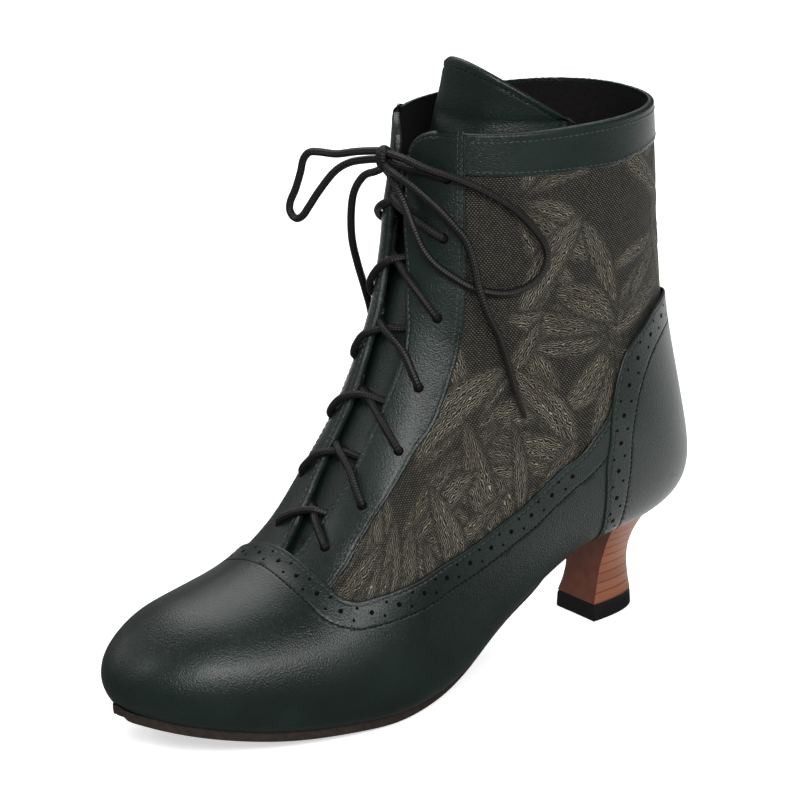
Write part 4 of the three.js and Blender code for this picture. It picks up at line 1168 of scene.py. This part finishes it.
def strand(firstSide):
    points = []
    side = firstSide
    for number in range(6):
        over = (side == "medial") == (number % 2 == 0)
        points += crossingPoints(side, number, over)
        side = "medial" if side == "lateral" else "lateral"
    station, turn, edge, _ = eyelet(side, 6)
    points += [surfacePoint(*stop) for stop in np.array([
        (station, turn, -4.2), (station, turn, -1.2), (station + 0.03, turn + (edge - turn) * 0.1, 1.0),
        (station + 0.08, turn + (edge - turn) * 0.5, 1.9)])]
    sideways = 1 if side == "lateral" else -1
    points += [knotCentre + np.array([4.2 * sideways, 0.8, -1.2]),
               knotCentre + np.array([1.2 * sideways, 0.4, 0])]
    return points


def makeCrossings():
    first = strand("lateral")
    second = strand("medial")
    start = eyelet("lateral", 0)
    end = eyelet("medial", 0)
    bar = [surfacePoint(start[0] - 0.12, 0.5 * (start[1] + end[1]), laceSize["behind"] - 0.4)]
    path = smoothPath(np.array(first[::-1] + bar + second), laceSize["spacing"])
    return tube("lace_crossings", path, laceSize["radius"], lace)


pieces["crossings"] = makeCrossings()

leftLoopRoute = [
    (-6, -88.6, 192.6), (-9.8, -88.6, 192.4), (-18, -91.4, 191), (-26, -94.2, 189), (-32, -97.1, 189),
    (-36, -98.8, 188.4), (-38.6, -99.7, 185.4), (-40.2, -100, 180.5), (-42.6, -100.7, 174),
    (-44.8, -101.7, 168.8),
    (-45, -101.8, 165.2), (-43, -100.9, 162.9), (-40.4, -99.7, 164.2), (-38, -98.4, 168), (-34.6, -96.2, 174),
    (-29, -93.4, 181.6), (-23, -91.2, 185.8),
    (-16.5, -88.8, 187.8), (-9.8, -88, 189.2), (-6, -88.4, 189)]
rightLoopRoute = [
    (-3.5, -88.7, 192.8), (-0.2, -88.8, 193), (6, -87.8, 192.4), (13.7, -84.5, 190), (22.7, -77.5, 186.6),
    (28.6, -70, 181.7), (32.8, -61.3, 174.5), (35.2, -54.8, 166.3), (36.4, -50.8, 158.4), (36.2, -52, 151.4),
    (34.9, -57, 147), (32.6, -64.8, 145.2), (29.6, -71.9, 146.4), (26.2, -77.6, 149), (22.7, -82, 152.6),
    (18.9, -86.4, 157.2), (15.8, -89.6, 163.1), (13, -91.4, 171), (8.4, -91.4, 178.4), (1, -90.6, 185.2),
    (-3.5, -89.7, 187.2)]
leftEndRoute = [
    (-5.6, -90, 187.2), (-8.3, -90.6, 185.7), (-13, -92.4, 183.4), (-17.6, -93.4, 177), (-21, -92.6, 168),
    (-24, -90.4, 157.2), (-27, -86.2, 146.6), (-29.4, -81.8, 136.4), (-31.4, -77.8, 125.6),
    (-33.4, -75.4, 114),
    (-35.2, -73.8, 102)]
rightEndRoute = [
    (-2.6, -90.2, 189.6), (0.4, -91.6, 188.8), (5.6, -92.2, 187.8), (12, -90.4, 184.8), (18.6, -86.2, 178.6),
    (22.8, -81.4, 171.4), (25.4, -77.4, 164.6), (28, -76.2, 156), (30.6, -76.4, 148), (32.6, -74.4, 139),
    (33.4, -70.4, 130), (34.6, -67.6, 119.4), (35.8, -65.4, 108.6), (37, -62.6, 99.4)]


def makeCord(name, route, node, endsInAglet):
    path = smoothPath(np.array(route, float), laceSize["spacing"])
    extras = []
    if endsInAglet:
        count = int(13 / laceSize["spacing"])
        tip = path[-count:]
        path = path[:-count + 3]
        radii = np.interp(np.arange(count), [0, 1, 2, count - 2, count - 1], [1.15, 1.4, 1.25, 1.0, 0.7])
        extras = [tube(name + "_tip", tip, radii, aglet)]
    piece = tube(name, path, laceSize["radius"], lace)
    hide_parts(node)
    for one in [piece] + extras:
        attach(one, "root")


makeCord("loop_left", leftLoopRoute, "lace_loop_left", False)
makeCord("loop_right", rightLoopRoute, "lace_loop_right", False)
makeCord("end_left", leftEndRoute, "lace_end_left", True)
makeCord("end_right", rightEndRoute, "lace_end_right", True)


def makeKnot():
    across = unit(surfacePoint(14.15, 0.43, 0) - surfacePoint(14.15, 0.61, 0))
    outward = unit(np.cross(across, [0, 0.2, -1]))
    upward = np.cross(outward, across)
    angles = np.linspace(-0.6, 1.75 * 2 * np.pi, 70)
    wrap = [knotCentre + across * (-1.7 + 3.4 * angle / angles[-1]) + outward * 1.9 * math.cos(angle)
            + upward * 3.6 * math.sin(angle) for angle in angles]
    return tube("knot", np.array(wrap), 1.55, lace)


pieces["knot"] = makeKnot()
print("laces")


# Stitches and perforations
def newTree(name, inputs):
    tree = bpy.data.node_groups.new(name, "GeometryNodeTree")
    tree.interface.new_socket(name="Geometry", in_out="INPUT", socket_type="NodeSocketGeometry")
    for label, kind in inputs:
        tree.interface.new_socket(name=label, in_out="INPUT", socket_type=kind)
    tree.interface.new_socket(name="Geometry", in_out="OUTPUT", socket_type="NodeSocketGeometry")
    return tree, tree.nodes.new("NodeGroupInput").outputs


def finishTree(tree, instances, material):
    real = addNode(tree, "GeometryNodeRealizeInstances", {0: instances})
    final = addNode(tree, "GeometryNodeSetMaterial", {"Geometry": real.outputs[0], "Material": material})
    smooth = addNode(tree, "GeometryNodeSetShadeSmooth", {0: final.outputs[0]})
    addNode(tree, "NodeGroupOutput", {0: smooth.outputs[0]})


def stitchTree():
    tree, given = newTree("stitches", [("Pitch", "NodeSocketFloat"), ("Length", "NodeSocketFloat"),
                                       ("Radius", "NodeSocketFloat"), ("Material", "NodeSocketMaterial")])
    curve = addNode(tree, "GeometryNodeMeshToCurve", {0: given["Geometry"]})
    spaced = addNode(tree, "GeometryNodeResampleCurve", {"Curve": curve.outputs[0], "Length": given["Pitch"]},
                     mode="LENGTH")
    ball = addNode(tree, "GeometryNodeMeshUVSphere", {"Segments": 6, "Rings": 4, "Radius": 0.5})
    tangent = addNode(tree, "GeometryNodeInputTangent")
    turned = addNode(tree, "FunctionNodeAlignRotationToVector", {"Vector": tangent.outputs[0]}, axis="Z")
    scale = addNode(tree, "ShaderNodeCombineXYZ",
                    {0: given["Radius"], 1: given["Radius"], 2: given["Length"]})
    placed = addNode(tree, "GeometryNodeInstanceOnPoints",
                     {"Points": spaced.outputs[0], "Instance": ball.outputs[0],
                                                           "Rotation": turned.outputs[0],
                                                           "Scale": scale.outputs[0]})
    finishTree(tree, placed.outputs[0], given["Material"])
    return tree


def holeTree():
    # the holes are not cut: flat near-black discs on the surface are painted shade of each hole
    tree, given = newTree("holes", [("Depth", "NodeSocketFloat"), ("Material", "NodeSocketMaterial")])
    disc = addNode(tree, "GeometryNodeMeshCylinder", {"Vertices": 18, "Radius": 0.5, "Depth": 1.0})
    facing = addNode(tree, "GeometryNodeInputNamedAttribute", {"Name": "direction"}, data_type="FLOAT_VECTOR")
    width = addNode(tree, "GeometryNodeInputNamedAttribute", {"Name": "width"}, data_type="FLOAT")
    turned = addNode(tree, "FunctionNodeAlignRotationToVector", {"Vector": facing.outputs[0]}, axis="Z")
    scale = addNode(tree, "ShaderNodeCombineXYZ",
                    {0: width.outputs[0], 1: width.outputs[0], 2: given["Depth"]})
    placed = addNode(tree, "GeometryNodeInstanceOnPoints",
                     {"Points": given["Geometry"], "Instance": disc.outputs[0],
                                                           "Rotation": turned.outputs[0],
                                                           "Scale": scale.outputs[0]})
    finishTree(tree, placed.outputs[0], given["Material"])
    return tree


def applied(thing, tree, values):
    # runs the node tree on the object and keeps its result as a plain mesh
    modifier = thing.modifiers.new("made", "NODES")
    modifier.node_group = tree
    for item in tree.interface.items_tree:
        if item.in_out == "INPUT" and item.name in values:
            modifier[item.identifier] = values[item.name]
    made = bpy.data.meshes.new_from_object(thing.evaluated_get(bpy.context.evaluated_depsgraph_get()))
    thing.modifiers.clear()
    thing.data = made
    return thing


def lineObject(name, lines):
    points = np.vstack(lines) * mm
    edges = []
    first = 0
    for one in lines:
        edges += [(first + i, first + i + 1) for i in range(len(one) - 1)]
        first += len(one)
    mesh = bpy.data.meshes.new(name)
    mesh.from_pydata(points.tolist(), edges, [])
    thing = bpy.data.objects.new(name, mesh)
    bpy.context.collection.objects.link(thing)
    return thing


def raisedLine(path, height):
    return path[0] + path[1] * height


stitchLook = {"pitch": 2.3, "length": 1.75, "radius": 0.36}
lateralSeam = outerSeams["lateral"]
medialSeam = outerSeams["medial"]
bandRow = np.array([(14.98, turn) for turn in np.linspace(0.398, -0.36, 120)])
stitchLines = [
    raisedLine(moved(throatEdges["lateral"], -1.9), 0.0),
    raisedLine(moved(throatEdges["medial"], 1.9), 0.0),
    raisedLine(moved(lateralSeam, 1.4), 0.02),
    raisedLine(moved(lateralSeam, 3.0), 0.02),
    raisedLine(moved(medialSeam, -1.4), 0.02),
    raisedLine(moved(medialSeam, -3.0), 0.02),
    raisedLine(moved(vampTop, 1.7), 0.5),
    raisedLine(moved(counterEdge, -1.5), 1.0),
    raisedLine(moved(bandLow, 1.6), -0.12),
    raisedLine(moved(bandRow, -3.0), -0.12),
]
thinLines = [raisedLine(vampLow, 0.42), raisedLine(placed(counterLow), 0.92), tongueSeam]
stitches = applied(lineObject("stitches", stitchLines), stitchTree(),
                   {"Pitch": stitchLook["pitch"] * mm, "Length": stitchLook["length"] * mm,
                    "Radius": stitchLook["radius"] * mm, "Material": threadDark})
thinStitches = applied(lineObject("thin_stitches", thinLines), bpy.data.node_groups["stitches"],
                       {"Pitch": 2.0 * mm, "Length": 1.7 * mm, "Radius": 0.34 * mm, "Material": holeDark})

holeLook = {"step": 10.7, "big": 1.75, "small": 1.1, "eyelet": 3.7, "depth": 0.1}


def bandOfHoles(upper, lower, height, first, last):
    # a big hole, then two small ones side by side, again and again along the middle of a strip
    count = 600
    upper = evenly(upper[0], count)
    lower = evenly(lower[0], count)
    length = np.linalg.norm(np.diff((upper + lower) / 2, axis=0), axis=1).sum()
    for index in range(int(length / holeLook["step"] * 2) + 1):
        at = (index * holeLook["step"] / 2) / length
        if not first < at < last:
            continue
        place = min(int(at * (count - 1)), count - 1)
        big = index % 2 == 0
        for share in (0.5,) if big else (0.28, 0.72):
            between = upper[place] * (1 - share) + lower[place] * share
            point, normal = surfaceTree.find_nearest(between.tolist())[:2]
            holes.append((point + normal * height, normal, holeLook["big" if big else "small"]))


holes = []
bandOfHoles(placed(vampTop), vampLow, 0.5, 0.08, 0.92)
bandOfHoles(placed(counterEdge), placed(counterLow), 1.0, 0.05, 0.95)
for side in ("lateral", "medial"):
    for number in range(7):
        station, turn = eyelet(side, number)[:2]
        holes.append((Vector(surfacePoint(station, turn, 0)), Vector(formNormal(station, turn)),
                      holeLook["eyelet"]))
# the perforations and eyelet holes are drawn as these discs of painted shade
cloudMesh = bpy.data.meshes.new("perforations")
cloudMesh.from_pydata([place * mm for place, _, _ in holes], [], [])
cloudMesh.attributes.new("direction", "FLOAT_VECTOR", "POINT").data.foreach_set(
    "vector", np.array([normal for _, normal, _ in holes]).ravel())
cloudMesh.attributes.new("width", "FLOAT", "POINT").data.foreach_set("value",
                                                                     [width * mm for _, _, width in holes])
cloud = bpy.data.objects.new("perforations", cloudMesh)
bpy.context.collection.objects.link(cloud)
perforations = applied(cloud, holeTree(), {"Depth": holeLook["depth"] * mm, "Material": holeDark})
print("stitches and holes")

# Light and floor
lightTable = [
    ("key", (1.25, -0.36, 0.85), (0, -0.08, 0.1), (1.0, 0.42), 14),
    ("front", (1.0, -0.84, 0.94), (0, -0.08, 0.1), (0.3, 0.5), 9),
    ("top", (-0.8, 0.35, 1.35), (0, -0.1, 0.05), (1.2, 1.1), 15),
    ("left", (-1.1, -0.5, 0.5), (0, -0.08, 0.15), (0.6, 0.26), 0.9),
    ("low front", (-0.5, -1.1, 0.95), (0, -0.08, 0.2), (0.4, 0.4), 3),
    ("glow", (-0.2, 0.47, 0.004), (-0.2, 0.47, 1), (0.8, 0.9), 2.9),
]
for name, place, target, extent, power in lightTable:
    lamp = bpy.data.lights.new(name, "AREA")
    lamp.shape = "RECTANGLE"
    lamp.size, lamp.size_y = extent
    lamp.energy = power
    holder = bpy.data.objects.new(name, lamp)
    bpy.context.collection.objects.link(holder)
    holder.location = place
    holder.visible_camera = False
    holder.rotation_euler = (Vector(target) - Vector(place)).to_track_quat("-Z", "Y").to_euler()

# White paper under an even grey room: greys and strengths, and half the floor's width in mm
studioLook = {"roomGrey": 0.9, "roomStrength": 0.14, "floorGrey": 0.93, "floorRoughness": 0.9,
              "floorSpecular": 0.1, "floorGlow": 0.6, "floorHalf": 4000}
room = (studioLook["roomGrey"],) * 3 + (1,)
paper = (studioLook["floorGrey"],) * 3 + (1,)
world = bpy.data.worlds.new("studio")
world.use_nodes = True
world.node_tree.nodes["Background"].inputs[0].default_value = room
world.node_tree.nodes["Background"].inputs[1].default_value = studioLook["roomStrength"]
bpy.context.scene.world = world
bpy.context.scene.view_settings.view_transform = "Standard"

floorMaterial, _, floorShader = newMaterial("white paper")
floorShader.inputs["Base Color"].default_value = paper
floorShader.inputs["Roughness"].default_value = studioLook["floorRoughness"]
floorShader.inputs["Specular IOR Level"].default_value = studioLook["floorSpecular"]
floorShader.inputs["Emission Color"].default_value = (1, 1, 1, 1)
floorShader.inputs["Emission Strength"].default_value = studioLook["floorGlow"]
half = studioLook["floorHalf"]
floorCorners = np.array([(-half, -half, 0), (half, -half, 0), (half, half, 0), (-half, half, 0)], float)
floor = meshObject("floor", floorCorners, [[0, 1, 2, 3]], floorMaterial)
floor.visible_glossy = False

# What rides and what stands for which solid
standsFor = {
    "cloth_lateral": (cloth, "jacquard", ["upper"]), "cloth_medial": (cloth, "jacquard", ["upper"]),
    "lining": (lining, "lining", ["upper"]),
    "eyestay_lateral": (leather, "green_leather", ["eyestay_lateral"]),
    "eyestay_medial": (leather, "green_leather", ["eyestay_medial"]),
    "collar": (leather, "green_leather", ["collar_band"]), "vamp": (leather, "green_leather", ["vamp"]),
    "counter": (leather, "green_leather", ["counter"]), "tongue": (leather, "green_leather", ["tongue"]),
    "insole": (lining, "lining", ["insole"]), "outsole": (soleMaterial, "outsole", ["outsole"]),
    "heel": (stack, "stacked_wood", ["heel"]), "tip": (tipMaterial, "top_piece", ["heel_tip"]),
    "crossings": (lace, "lace", ["lace_crossing_%d" % number for number in range(1, 7)]),
    "knot": (lace, "lace", ["lace_knot"]),
}
for name, (_, slot, replaced) in standsFor.items():
    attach(pieces[name], "root")
    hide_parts(*replaced)
for detail in (stitches, thinStitches, perforations):
    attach(detail, "root")
